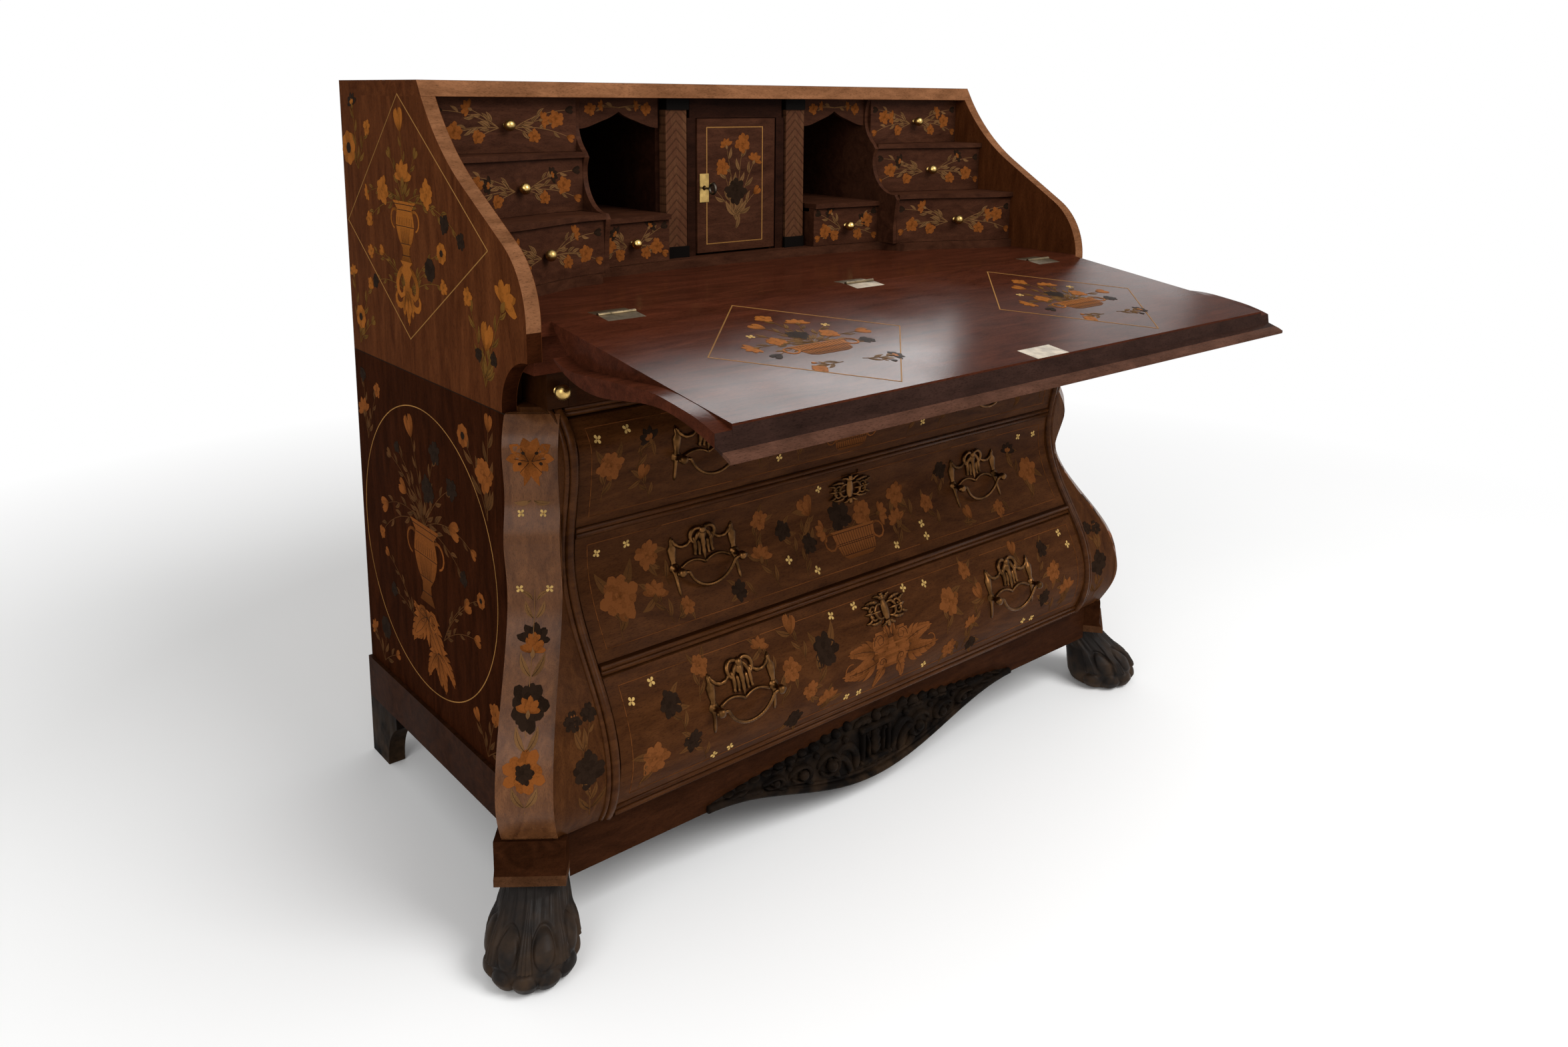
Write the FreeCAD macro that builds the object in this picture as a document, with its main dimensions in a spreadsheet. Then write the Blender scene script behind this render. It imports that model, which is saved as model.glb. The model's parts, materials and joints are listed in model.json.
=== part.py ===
import FreeCAD, Part
import math
import os

# Slant-front bureau on a bombe chest.  Millimetres, +Z up, front towards -Y.
# "Depth" is the distance forward from the plane of the back.
SIZES = {
    # carcase
    "overall_height": 1100,
    "case_width": 1106,
    "side_thickness": 21,
    "top_thickness": 22,
    "back_thickness": 12,
    "base_height": 168,
    "bottom_thickness": 17,
    "rail_thickness": 15,
    "rail_proud": 2,
    "lower_opening": 166,
    "middle_opening": 154,
    "upper_opening": 142,
    "stile_width": 66,
    "frieze_height": 48,
    "seam_rise": 9,
    # desk part and its curved side edge
    "desk_height": 811,
    "desk_depth": 567,
    "bed_thickness": 18,
    "bed_nose": 5,
    "ogee_slope": 31.5,
    "ogee_belly_share": 0.4118,
    "ogee_run_share": 0.4706,
    "ogee_hollow_share": 1.2463,
    "cove_radius": 70,
    "cove_rise": 6,
    # bombe front: turning points of its section
    "toe_height": 90,
    "toe_depth": 610,
    "belly_height": 245,
    "belly_depth": 657,
    "waist_height": 490,
    "waist_depth": 554,
    "shoulder_height": 632,
    "shoulder_depth": 571,
    "brow_height": 735,
    "brow_depth": 500,
    # canted corner trusses, measured outwards from the face of the corner
    "corner_depth": 503,
    "truss_turn": 37.5,
    "truss_width": 70,
    "truss_inset": 12,
    "truss_toe": 113,
    "truss_belly": 143,
    "truss_belly_height": 237,
    "truss_waist": 20,
    "truss_waist_height": 458,
    "truss_step": 34,
    "truss_step_height": 526,
    "truss_roll": 26,
    "truss_roll_height": 645,
    "stile_back": 478,
    # base
    "plinth_height": 70,
    "plinth_proud": 6,
    "block_height": 58,
    "block_width": 90,
    "block_reach": 117,
    "block_tail": 30,
    "block_mould": 20,
    "block_mould_proud": 7,
    "apron_depth": 622,
    "apron_thickness": 22,
    "apron_low": 30,
    "apron_drop_half": 330,
    "paw_reach": 124,
    "paw_half": 60,
    "ankle_half": 40,
    "back_foot_depth": 104,
    # frieze and lopers
    "frieze_set": 26,
    "frieze_thickness": 22,
    "frieze_margin": 83,
    "guide_thickness": 12,
    "loper_width": 30,
    "loper_back": 150,
    "fall_rail_set": 22,
    "fall_rail_deep": 75,
    "loper_knob": 10,
    # fall, along its inner face from the hinge line and square to it
    "fall_slope": 43,
    "fall_droop": 7.8,
    "fall_set": 34,
    "lip_set": 12,
    "lip_start": 48,
    "lip_gap": 1.2,
    "lip_edge": 4,
    "lip_sink": 2,
    "nose_lean": 5,
    "nose_drop": 19,
    "nose_ledge": 18,
    "nose_fall": 3.5,
    "fall_head_gap": 18.75,
    "lip_overhang": 30,
    "lip_drop": 29,
    "fall_belly": 45.5,
    "fall_belly_share": 0.3214,
    "fall_hollow": 12.5,
    "fall_hollow_share": 0.7967,
    "fall_tip": 1.2,
    "hinge_spread": 425,
    "hinge_length": 56,
    "hinge_leaf": 26,
    "hinge_plate": 1.6,
    "knuckle_radius": 2.8,
    "pin_radius": 1.4,
    "lock_width": 64,
    "lock_depth": 34,
    # drawers of the chest
    "front_thickness": 22,
    "drawer_wall": 12,
    "drawer_back": 30,
    "drawer_slack": 14,
    "upper_handle_height": 605,
    "middle_handle_height": 443,
    "lower_handle_height": 274,
    "upper_lock_height": 632,
    "middle_lock_height": 489,
    "lower_lock_height": 316,
    "handle_set": 202,
    "post_spread": 52,
    "post_radius": 6,
    "post_root": 12,
    "post_over": 6,
    "bail_stand": 18,
    "bail_clear": 7,
    "bail_radius": 2,
    "bail_bend": 6,
    "bail_drop": 28,
    "plate_width": 36,
    "plate_height": 50,
    "plate_thickness": 3,
    # nest of drawers inside the desk
    "nest_plinth": 14,
    "nest_board": 8,
    "nest_back": 40,
    "stack_width": 228,
    "top_front": 272,
    "middle_front": 288,
    "middle_swell": 47,
    "low_front": 345,
    "low_swell": 70,
    "shelf_proud": 6,
    "pigeon_inner": 152,
    "pigeon_level": 66,
    "pigeon_front": 292,
    "pigeon_swell": 12,
    "nest_centre_front": 292,
    "small_wall": 6,
    "small_front": 13,
    "knob_radius": 8,
    "knob_neck": 3,
    "valance_depth": 262,
    "valance_thickness": 10,
    "valance_drop": 46,
    "valance_apex": 28,
    "pilaster_inner": 104,
    "pilaster_front": 272,
    "pilaster_cap": 18,
    "pilaster_cap_proud": 3,
    "door_width": 166,
    "door_thickness": 16,
    "door_front": 272,
    "door_foot_gap": 4,
    "door_head_drop": 32,
    "door_pin_radius": 2.5,
    "door_pin_length": 6,
    "door_frame_inner": 84,
    "door_frame_outer": 96,
    "door_plate_width": 18,
    "door_plate_height": 46,
    "door_plate_inset": 13,
    "key_drop": 2.5,
    "key_radius": 2,
    "key_bow": 8,
    # fits
    "drawer_gap": 1,
    "drawer_seat": 0.3,
    "small_gap": 0.5,
    "loper_gap": 0.5,
    "running_gap": 0.05,
    "knuckle_gap": 0.4,
}

doc = FreeCAD.newDocument("bureau")
sheet = doc.addObject("Spreadsheet::Sheet", "sizes")
for row, (alias, number) in enumerate(SIZES.items(), start=1):
    sheet.set(f"A{row}", alias)
    sheet.set(f"B{row}", str(number))
    sheet.setAlias(f"B{row}", alias)
doc.recompute()

Vector = FreeCAD.Vector
Rotation = FreeCAD.Rotation
Placement = FreeCAD.Placement
NODES = {}


def size(alias):
    """Value of one cell of the sheet."""
    return float(getattr(sheet, alias))


def worth(text):
    """Value of a sum of cells, written as for an expression."""
    return float(sheet.evalExpression(text))


droop = math.radians(size("fall_droop"))
slope = math.radians(size("fall_slope"))
fall_length = worth("overall_height - top_thickness - desk_height - fall_head_gap") / math.sin(slope)
lip_reach = fall_length + size("lip_overhang")
front_reach = (size("desk_depth") + lip_reach * math.cos(droop)
               - (size("lip_drop") - size("lip_edge")) * math.sin(droop))
sheet.set("A200", "back_plane")
sheet.set("B200", str(front_reach / 2))
sheet.setAlias("B200", "back_plane")
doc.recompute()

# sums that many pieces share
HALF = "(sizes.case_width / 2)"
INNER = "(sizes.case_width / 2 - sizes.side_thickness)"
OPENING = "(sizes.case_width / 2 - sizes.stile_width)"
FLOOR_3 = "(sizes.base_height + sizes.bottom_thickness)"
RAIL_3 = f"({FLOOR_3} + sizes.lower_opening)"
FLOOR_2 = f"({RAIL_3} + sizes.rail_thickness)"
RAIL_2 = f"({FLOOR_2} + sizes.middle_opening)"
FLOOR_1 = f"({RAIL_2} + sizes.rail_thickness)"
RAIL_1 = f"({FLOOR_1} + sizes.upper_opening)"
FRIEZE = f"({RAIL_1} + sizes.rail_thickness)"
SEAM = f"({RAIL_1} + sizes.seam_rise)"
FRIEZE_TOP = f"({FRIEZE} + sizes.frieze_height)"
BED = "(sizes.desk_height - sizes.bed_thickness)"
CEILING = "(sizes.overall_height - sizes.top_thickness)"
NEST = "(sizes.desk_height + sizes.nest_plinth)"
HANDLE = f"({OPENING} - sizes.handle_set)"
FRIEZE_HALF = "(sizes.case_width / 2 - sizes.frieze_margin)"
FRIEZE_FRONT = "(sizes.desk_depth - sizes.frieze_set)"
FALL_RAIL = "(sizes.desk_depth - sizes.fall_rail_set)"
FALL_HALF = "(sizes.case_width / 2 - sizes.fall_set)"
LIP_HALF = "(sizes.case_width / 2 - sizes.lip_set)"
STACK = f"({INNER} - sizes.stack_width)"
DOOR_FOOT = f"({NEST} + sizes.door_foot_gap)"
DOOR_HEAD = f"({CEILING} - sizes.door_head_drop)"
DOOR_HIGH = f"({DOOR_HEAD} - {DOOR_FOOT})"
KEY_Z = f"(({DOOR_FOOT} + {DOOR_HEAD}) / 2 - sizes.key_drop)"


def straight(points):
    """Line segments through the points."""
    return [Part.LineSegment(Vector(*a, 0), Vector(*b, 0)) for a, b in zip(points, points[1:])]


def smooth(points):
    """One curve through the points."""
    curve = Part.BSplineCurve()
    curve.interpolate([Vector(*p, 0) for p in points])
    return [curve]


def arc(start, middle, end):
    """Arc through three points."""
    return [Part.Arc(Vector(*start, 0), Vector(*middle, 0), Vector(*end, 0))]


def outline(*runs):
    """Closed loop: each run is ("line" or "curve" or "arc", points), joined end to end."""
    makers = {"line": straight, "curve": smooth, "arc": lambda points: arc(*points)}
    return [edge for kind, points in runs for edge in makers[kind](points)]


def pad(name, plane, edges, length, x="0", z="0"):
    """Body with one sketch on an origin plane, padded along the plane's normal."""
    body = doc.addObject("PartDesign::Body", name)
    sketch = body.newObject("Sketcher::SketchObject", name + "_outline")
    role = {"side": "YZ_Plane", "plan": "XY_Plane", "face": "XZ_Plane"}[plane]
    support = [f for f in body.Origin.OriginFeatures if f.Role == role][0]
    sketch.AttachmentSupport = [(support, "")]
    sketch.MapMode = "FlatFace"
    sketch.addGeometry(edges, False)
    feature = body.newObject("PartDesign::Pad", name + "_pad")
    feature.Profile = sketch
    feature.setExpression("Length", length)
    body.setExpression("Placement.Base.x", x)
    body.setExpression("Placement.Base.y", "sizes.back_plane")
    body.setExpression("Placement.Base.z", z)
    return body


def board(name, x0, x1, d0, d1, z0, z1):
    """Square board between two values of x, of depth and of height."""
    box = doc.addObject("Part::Box", name)
    box.setExpression("Length", f"({x1}) - ({x0})")
    box.setExpression("Width", f"({d1}) - ({d0})")
    box.setExpression("Height", f"({z1}) - ({z0})")
    box.setExpression("Placement.Base.x", x0)
    box.setExpression("Placement.Base.y", f"sizes.back_plane - ({d1})")
    box.setExpression("Placement.Base.z", z0)
    return box


def rod(name, radius, length, x, d, z, axis):
    """Cylinder from a point, along +X, forward (-Y) or up (+Z)."""
    cylinder = doc.addObject("Part::Cylinder", name)
    cylinder.setExpression("Radius", radius)
    cylinder.setExpression("Height", length)
    turns = {"x": Rotation(Vector(0, 1, 0), 90), "forward": Rotation(Vector(1, 0, 0), 90), "up": Rotation()}
    cylinder.Placement.Rotation = turns[axis]
    cylinder.setExpression("Placement.Base.x", x)
    cylinder.setExpression("Placement.Base.y", f"sizes.back_plane - ({d})")
    cylinder.setExpression("Placement.Base.z", z)
    return cylinder


def group(name, pieces):
    """Separate solids under one name."""
    compound = doc.addObject("Part::Compound", name)
    compound.Links = pieces
    return compound


def cut(name, base, tools):
    """Base less its tools."""
    result = doc.addObject("Part::Cut", name)
    result.Base = base
    result.Tool = tools[0] if len(tools) == 1 else group(name + "_tools", tools)
    return result


def fuse(name, pieces):
    """Pieces made one."""
    result = doc.addObject("Part::MultiFuse", name)
    result.Shapes = pieces
    return result


def common(name, first, second):
    """What two solids share."""
    result = doc.addObject("Part::MultiCommon", name)
    result.Shapes = [first, second]
    return result


def mirrored(name, source):
    """The same piece for the left hand."""
    result = doc.addObject("Part::Mirroring", name)
    result.Source = source
    result.Normal = Vector(1, 0, 0)
    return result


def wave(turns, at):
    """Section through turning points (place, value): half a cosine between each two."""
    for (a, u), (b, v) in zip(turns, turns[1:]):
        if at <= b:
            break
    share = min(max((at - a) / (b - a), 0), 1)
    return u + (v - u) * (1 - math.cos(math.pi * share)) / 2


def front_depth(z):
    """Depth of the bombe front at a height."""
    names = ("toe", "belly", "waist", "shoulder", "brow")
    return wave([(size(name + "_height"), size(name + "_depth")) for name in names], z)


def spaced(start, end, count):
    """Evenly spaced values, both ends included."""
    return [start + (end - start) * i / (count - 1) for i in range(count)]


def front_points(z0, z1, count=9):
    """Points of the bombe front from one height to another, in a side sketch."""
    return [(-front_depth(z), z) for z in spaced(z0, z1, count)]


def bombe(name, back, z0, z1, x0, x1):
    """Piece with the bombe front and a flat back."""
    curve = front_points(z0, z1)
    edges = outline(("line", [(-back, z1), (-back, z0), curve[0]]), ("curve", curve),
                    ("line", [curve[-1], (-back, z1)]))
    return pad(name, "side", edges, f"({x1}) - ({x0})", x=x0)


# desk sides, top and back
ceiling = worth(CEILING)
seam = worth(SEAM)
edge_rise = ceiling - size("desk_height") + size("bed_nose")
edge_belly = edge_rise * size("ogee_belly_share")
edge_run = edge_rise * size("ogee_run_share")
edge_hollow = edge_rise * size("ogee_hollow_share")
edge_slope = math.radians(size("ogee_slope"))


def ogee_joints():
    """Joints (depth, height) of the side's curved edge, and its hollow's centre."""
    start = (size("desk_depth"), size("desk_height") - size("bed_nose"))
    turn = math.pi / 2 - edge_slope
    first = (start[0] - edge_belly * (1 - math.cos(turn)), start[1] + edge_belly * math.sin(turn))
    second = (first[0] - edge_run * math.cos(edge_slope), first[1] + edge_run * math.sin(edge_slope))
    centre = (second[0] + edge_hollow * math.sin(edge_slope), second[1] + edge_hollow * math.cos(edge_slope))
    return start, first, second, centre


def hollow_depth(z):
    """Depth of the hollow upper stretch of the edge at a height."""
    centre = ogee_joints()[3]
    return centre[0] - math.sqrt(edge_hollow ** 2 - (centre[1] - z) ** 2)


def belly_depth(z):
    """Depth of the convex lower stretch of the edge at a height."""
    start = ogee_joints()[0]
    return start[0] - edge_belly + math.sqrt(edge_belly ** 2 - (z - start[1]) ** 2)


def side_points(points):
    """(depth, height) pairs as points of a side sketch."""
    return [(-d, z) for d, z in points]


start, first, second, centre = ogee_joints()
cove = size("cove_radius")
cove_foot = (start[0] - cove, seam + size("cove_rise"))
cove_head = (start[0], cove_foot[1] + cove)
cove_middle = (start[0] - cove * math.sqrt(0.5), cove_foot[1] + cove * math.sqrt(0.5))
belly_middle = (belly_depth((start[1] + first[1]) / 2), (start[1] + first[1]) / 2)
hollow_middle = (hollow_depth((second[1] + ceiling) / 2), (second[1] + ceiling) / 2)
edge_top = (hollow_depth(ceiling), ceiling)
side_edges = outline(
    ("line", side_points([edge_top, (0, ceiling), (0, seam), (cove_foot[0], seam), cove_foot])),
    ("arc", side_points([cove_foot, cove_middle, cove_head])),
    ("line", side_points([cove_head, start])),
    ("arc", side_points([start, belly_middle, first])),
    ("line", side_points([first, second])),
    ("arc", side_points([second, hollow_middle, edge_top])))
NODES["upper_side_right"] = pad("upper_side_right", "side", side_edges, "sizes.side_thickness", x=INNER)
NODES["upper_side_left"] = mirrored("upper_side_left", NODES["upper_side_right"])

height = size("overall_height")
top_edges = outline(("line", side_points([
    (0, ceiling), edge_top, (hollow_depth(height), height), (0, height), (0, ceiling)])))
NODES["top_board"] = pad("top_board", "side", top_edges, "sizes.case_width", x=f"-{HALF}")
NODES["back_panel"] = board("back_panel", f"-{INNER}", INNER, "0", "sizes.back_thickness",
                            "sizes.base_height", CEILING)

# chest sides, stiles and corner trusses
half = worth(HALF)
inner = worth(INNER)
opening = worth(OPENING)
truss_half = size("truss_width") / 2
truss_back = size("truss_inset")
turn_cos = math.cos(math.radians(size("truss_turn")))
turn_sin = math.sin(math.radians(size("truss_turn")))
truss_x = half - truss_half * turn_cos
truss_depth = size("corner_depth") + truss_half * turn_sin


def corner_point(ahead, along):
    """(x, depth) of a point ahead of the right-hand corner's face and along it from its middle."""
    return (truss_x + ahead * turn_sin + along * turn_cos, truss_depth + ahead * turn_cos - along * turn_sin)


def back_depth(x):
    """Depth of the truss's back at x."""
    return truss_depth - (truss_back + (x - truss_x) * turn_sin) / turn_cos


def flank_x(along, depth):
    """x at a depth on the line square to the corner's face."""
    return corner_point((depth - truss_depth + along * turn_sin) / turn_cos, along)[0]


def flank_depth(along, x):
    """Depth at x on the line square to the corner's face."""
    return corner_point((x - truss_x - along * turn_cos) / turn_sin, along)[1]


def plan_points(points):
    """(x, depth) pairs as points of a plan sketch, closed."""
    return [(x, -d) for x, d in points + points[:1]]


side_plan = outline(("line", plan_points([
    (half, 0), (half, back_depth(half)), (inner, back_depth(inner)), (inner, 0)])))
NODES["lower_side_right"] = pad("lower_side_right", "plan", side_plan, f"{SEAM} - sizes.base_height",
                                z="sizes.base_height")
NODES["lower_side_left"] = mirrored("lower_side_left", NODES["lower_side_right"])

stile_back = size("stile_back")
stile_far = size("belly_depth") + size("front_thickness")
stile_block = bombe("stile_block", stile_back, size("base_height"), worth(FRIEZE), OPENING,
                    f"{HALF} + sizes.belly_depth - sizes.waist_depth")
stile_plan = outline(("line", plan_points([
    (opening, stile_back), (opening, stile_far), (flank_x(-truss_half, stile_far), stile_far),
    corner_point(-truss_back, -truss_half), (inner, back_depth(inner)), (inner, stile_back)])))
stile_shape = pad("stile_plan", "plan", stile_plan, FRIEZE)
stile_right = common("stile_right", stile_block, stile_shape)
NODES["stiles"] = group("stiles", [stile_right, mirrored("stile_left", stile_right)])

step_z = size("truss_step_height")
roll_z = size("truss_roll_height")
base = size("base_height")
belly_z = size("truss_belly_height")
upper_turns = [(step_z, size("truss_step")), ((step_z + roll_z) / 2, size("truss_step") / 2),
               (roll_z, size("truss_roll")), (2 * seam - roll_z, -size("truss_roll"))]
lower_turns = [(2 * base - belly_z, 2 * size("truss_toe") - size("truss_belly")),
               (belly_z, size("truss_belly")), (size("truss_waist_height"), size("truss_waist")),
               (step_z, size("truss_step"))]
upper_curve = [(-wave(upper_turns, z), z) for z in spaced(step_z, seam, 9)]
step_under = step_z - size("truss_step") / 4
lower_curve = [(-wave(lower_turns, z), z) for z in spaced(base, step_under, 13)]
truss_edges = outline(
    ("line", [(truss_back, seam), (truss_back, base), lower_curve[0]]), ("curve", lower_curve),
    ("line", [lower_curve[-1], upper_curve[0]]), ("curve", upper_curve),
    ("line", [upper_curve[-1], (truss_back, seam)]))


def set_corner(piece, along=0):
    """Turns a piece to the right-hand corner, `along` from the middle of its face."""
    x, depth = corner_point(0, along)
    piece.Placement.Rotation = Rotation(Vector(0, 0, 1), size("truss_turn"))
    piece.setExpression("Placement.Base.x", str(x))
    piece.setExpression("Placement.Base.y", f"sizes.back_plane - {depth}")
    return piece


NODES["truss_right"] = set_corner(pad("truss_right", "side", truss_edges, "sizes.truss_width"), -truss_half)
NODES["truss_left"] = mirrored("truss_left", NODES["truss_right"])


# boards between the drawers
def shelf_plan(front):
    """Plan of a board notched round the stiles."""
    right = [(inner, size("back_thickness")), (inner, stile_back), (opening, stile_back), (opening, front)]
    left = [(-x, d) for x, d in reversed(right)]
    return outline(("line", plan_points(right + left)))


for name, low, high in (("case_bottom", "sizes.base_height", FLOOR_3), ("dust_board_lower", RAIL_3, FLOOR_2),
                        ("dust_board_middle", RAIL_2, FLOOR_1), ("dust_board_upper", RAIL_1, FRIEZE)):
    front = front_depth((worth(low) + worth(high)) / 2) + size("rail_proud")
    NODES[name] = pad(name, "plan", shelf_plan(front), f"{high} - {low}", z=low)

# plinth, foot blocks, feet and apron
block_half = size("block_width") / 2
block_low = base - size("block_height")
plinth_low = base - size("plinth_height")
proud = half + size("plinth_proud")
plinth_plan = outline(("line", plan_points([
    (inner, 0), (proud, 0), (proud, flank_depth(block_half, proud)),
    (inner, flank_depth(block_half, inner))])))
plinth_right = pad("plinth_right", "plan", plinth_plan, "sizes.plinth_height",
                   z="sizes.base_height - sizes.plinth_height")
NODES["side_plinths"] = group("side_plinths", [plinth_right, mirrored("plinth_left", plinth_right)])

mould = size("block_mould_proud")
mould_high = size("block_mould")
reach = size("block_reach")
tail = size("block_tail")
mould_curve = [(-reach - mould, block_low + mould_high / 2),
               (-reach - mould / 3, block_low + mould_high * 0.75),
               (-reach, block_low + mould_high)]
block_edges = outline(
    ("line", [(tail, base), (tail, block_low), (-reach - mould, block_low), mould_curve[0]]),
    ("curve", mould_curve), ("line", [mould_curve[-1], (-reach, base), (tail, base)]))
block_right = set_corner(pad("block_right", "side", block_edges, "sizes.block_width"), -block_half)
NODES["foot_blocks"] = group("foot_blocks", [block_right, mirrored("block_left", block_right)])


def paw_section(z, ahead, wide, deep):
    """Oval at a height: its centre `ahead` along the corner's line."""
    oval = Part.Ellipse(Vector(0, 0, 0), max(wide, deep), min(wide, deep))
    wire = Part.Wire([oval.toShape()])
    if deep > wide:
        wire.rotate(Vector(0, 0, 0), Vector(0, 0, 1), 90)
    wire.translate(Vector(0, -ahead, z))
    return wire


paw = size("paw_half")
ankle = size("ankle_half")
paw_at = size("paw_reach")
paw_right = doc.addObject("Part::Feature", "paw_right")
paw_right.Shape = Part.makeLoft([
    paw_section(0, paw_at, paw * 0.92, paw), paw_section(block_low * 0.3, paw_at, paw, paw * 1.08),
    paw_section(block_low * 0.65, paw_at - paw * 0.25, ankle * 1.2, ankle * 1.25),
    paw_section(block_low, reach - ankle, ankle, ankle * 1.02)], True, False)
NODES["paw_right"] = set_corner(paw_right)
NODES["paw_left"] = mirrored("paw_left", paw_right)

foot_deep = size("back_foot_depth")
foot_curve = [(-foot_deep * 0.62, 0), (-foot_deep * 0.7, plinth_low * 0.45), (-foot_deep, plinth_low * 0.8)]
foot_edges = outline(
    ("line", [foot_curve[-1], (-foot_deep, plinth_low), (0, plinth_low), (0, 0), foot_curve[0]]),
    ("curve", foot_curve))
foot_right = pad("back_foot_right", "side", foot_edges, "sizes.side_thickness + sizes.plinth_proud", x=INNER)
NODES["back_feet"] = group("back_feet", [foot_right, mirrored("back_foot_left", foot_right)])

apron_end = half + size("truss_belly")
drop = size("apron_drop_half")
low = size("apron_low")
scallop = [(x, plinth_low + (low - plinth_low) * (1 + math.cos(math.pi * x / drop)) / 2)
           for x in spaced(-drop, drop, 13)]
apron_edges = outline(
    ("line", [(drop, plinth_low), (apron_end, plinth_low), (apron_end, base), (-apron_end, base),
              (-apron_end, plinth_low), (-drop, plinth_low)]),
    ("curve", scallop))
apron_board = pad("apron_board", "face", apron_edges, "sizes.apron_thickness")
apron_board.setExpression("Placement.Base.y",
                          "sizes.back_plane - sizes.apron_depth + sizes.apron_thickness")
apron_front = size("apron_depth")
apron_back = apron_front - size("apron_thickness")
ends = [(flank_x(-block_half, apron_back), apron_back), (flank_x(-block_half, apron_front), apron_front)]
apron_plan = outline(("line", plan_points(ends + [(-x, d) for x, d in reversed(ends)])))
NODES["apron"] = common("apron", apron_board, pad("apron_plan", "plan", apron_plan, "sizes.base_height"))

# frieze, fall rail and lopers
NODES["frieze_panel"] = board("frieze_panel", f"-{FRIEZE_HALF}", FRIEZE_HALF,
                              f"{FRIEZE_FRONT} - sizes.frieze_thickness", FRIEZE_FRONT, FRIEZE, FRIEZE_TOP)
NODES["fall_rail"] = board("fall_rail", f"-{INNER}", INNER, f"{FALL_RAIL} - sizes.fall_rail_deep", FALL_RAIL,
                           FRIEZE_TOP, BED)
LOPER = f"({FRIEZE_HALF} + sizes.guide_thickness + sizes.loper_gap)"
LOPER_OUT = f"({LOPER} + sizes.loper_width)"
LOPER_MIDDLE = f"({LOPER} + sizes.loper_width / 2)"
guide_inner = board("guide_inner", FRIEZE_HALF, f"{FRIEZE_HALF} + sizes.guide_thickness", "sizes.loper_back",
                    FRIEZE_FRONT, FRIEZE, FRIEZE_TOP)
guide_outer = board("guide_outer", f"{LOPER_OUT} + sizes.loper_gap", INNER, "sizes.loper_back",
                    f"{FALL_RAIL} - sizes.cove_radius", FRIEZE, FRIEZE_TOP)
guides = [guide_inner, guide_outer]
NODES["loper_guides"] = group("loper_guides", guides + [mirrored(g.Name + "_left", g) for g in guides])
loper_bar = board("loper_bar", LOPER, LOPER_OUT, "sizes.loper_back", FRIEZE_FRONT,
                  f"{FRIEZE} + sizes.loper_gap", f"{FRIEZE_TOP} - sizes.loper_gap")
KNOB_Z = f"({FRIEZE} + sizes.frieze_height / 2)"


def turned_knob(name, radius, neck, x, d, z):
    """Knob with its peg, standing forward of a face; its drilling has the peg's size."""
    peg = rod(name + "_peg", neck, f"2 * {radius} + {neck}", x, f"{d} - {radius}", z, "forward")
    ball = doc.addObject("Part::Sphere", name + "_ball")
    ball.setExpression("Radius", radius)
    ball.setExpression("Placement.Base.x", x)
    ball.setExpression("Placement.Base.y", f"sizes.back_plane - ({d} + {radius} + {neck})")
    ball.setExpression("Placement.Base.z", z)
    drilling = rod(name + "_drilling", neck, radius, x, f"{d} - {radius}", z, "forward")
    return fuse(name, [peg, ball]), drilling


loper_knob, drilling = turned_knob("loper_knob", "sizes.loper_knob", "sizes.knob_neck", LOPER_MIDDLE,
                                   FRIEZE_FRONT, KNOB_Z)
NODES["loper_right"] = group("loper_right", [cut("loper_drilled", loper_bar, [drilling]), loper_knob])
NODES["loper_left"] = mirrored("loper_left", NODES["loper_right"])

# desk bed, fall and their hinges
knuckle = size("knuckle_radius")
leaf_half = size("hinge_length") / 2
third = size("hinge_length") / 6
plate = size("hinge_plate")
neck = knuckle + size("knuckle_gap")
HINGES = (-size("hinge_spread"), 0, size("hinge_spread"))


def bar_x(radius, x0, x1):
    """Cylinder along X on the hinge line."""
    return Part.makeCylinder(radius, x1 - x0, Vector(x0, 0, 0), Vector(1, 0, 0))


def leaf_fixed():
    """Leaf in the bed, behind the hinge line: plate, two knuckles and the pin."""
    ends = ((-leaf_half, -third - size("knuckle_gap")), (third + size("knuckle_gap"), leaf_half))
    shape = Part.makeBox(2 * leaf_half, size("hinge_leaf") - neck, plate, Vector(-leaf_half, neck, -plate))
    for x0, x1 in ends:
        shape = shape.fuse(Part.makeBox(x1 - x0, neck, plate, Vector(x0, 0, -plate)))
        shape = shape.fuse(bar_x(knuckle, x0, x1))
    return shape.fuse(bar_x(size("pin_radius"), -leaf_half, leaf_half)).removeSplitter()


def leaf_moving():
    """Leaf in the fall, in front of the hinge line: plate and middle knuckle, bored for the pin."""
    foot = Vector(-leaf_half, -size("hinge_leaf"), -plate)
    shape = Part.makeBox(2 * leaf_half, size("hinge_leaf") - neck, plate, foot)
    shape = shape.fuse(Part.makeBox(2 * third, neck, plate, Vector(-third, -neck, -plate)))
    shape = shape.fuse(bar_x(knuckle, -third, third))
    return shape.cut(bar_x(size("pin_radius") + size("running_gap"), -third, third)).removeSplitter()


def hinge_sinking(side):
    """Recess for one leaf (side +1 behind the hinge line, -1 in front) and room for the knuckles."""
    y0 = 0 if side > 0 else -size("hinge_leaf")
    recess = Part.makeBox(2 * leaf_half, size("hinge_leaf"), plate, Vector(-leaf_half, y0, -plate))
    return recess.fuse(bar_x(neck, -leaf_half - size("knuckle_gap"), leaf_half + size("knuckle_gap")))


def along_hinges(name, shape):
    """Three copies of a shape on the hinge line."""
    piece = doc.addObject("Part::Feature", name)
    piece.Shape = Part.makeCompound([shape.translated(Vector(x, 0, 0)) for x in HINGES])
    return piece


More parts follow.
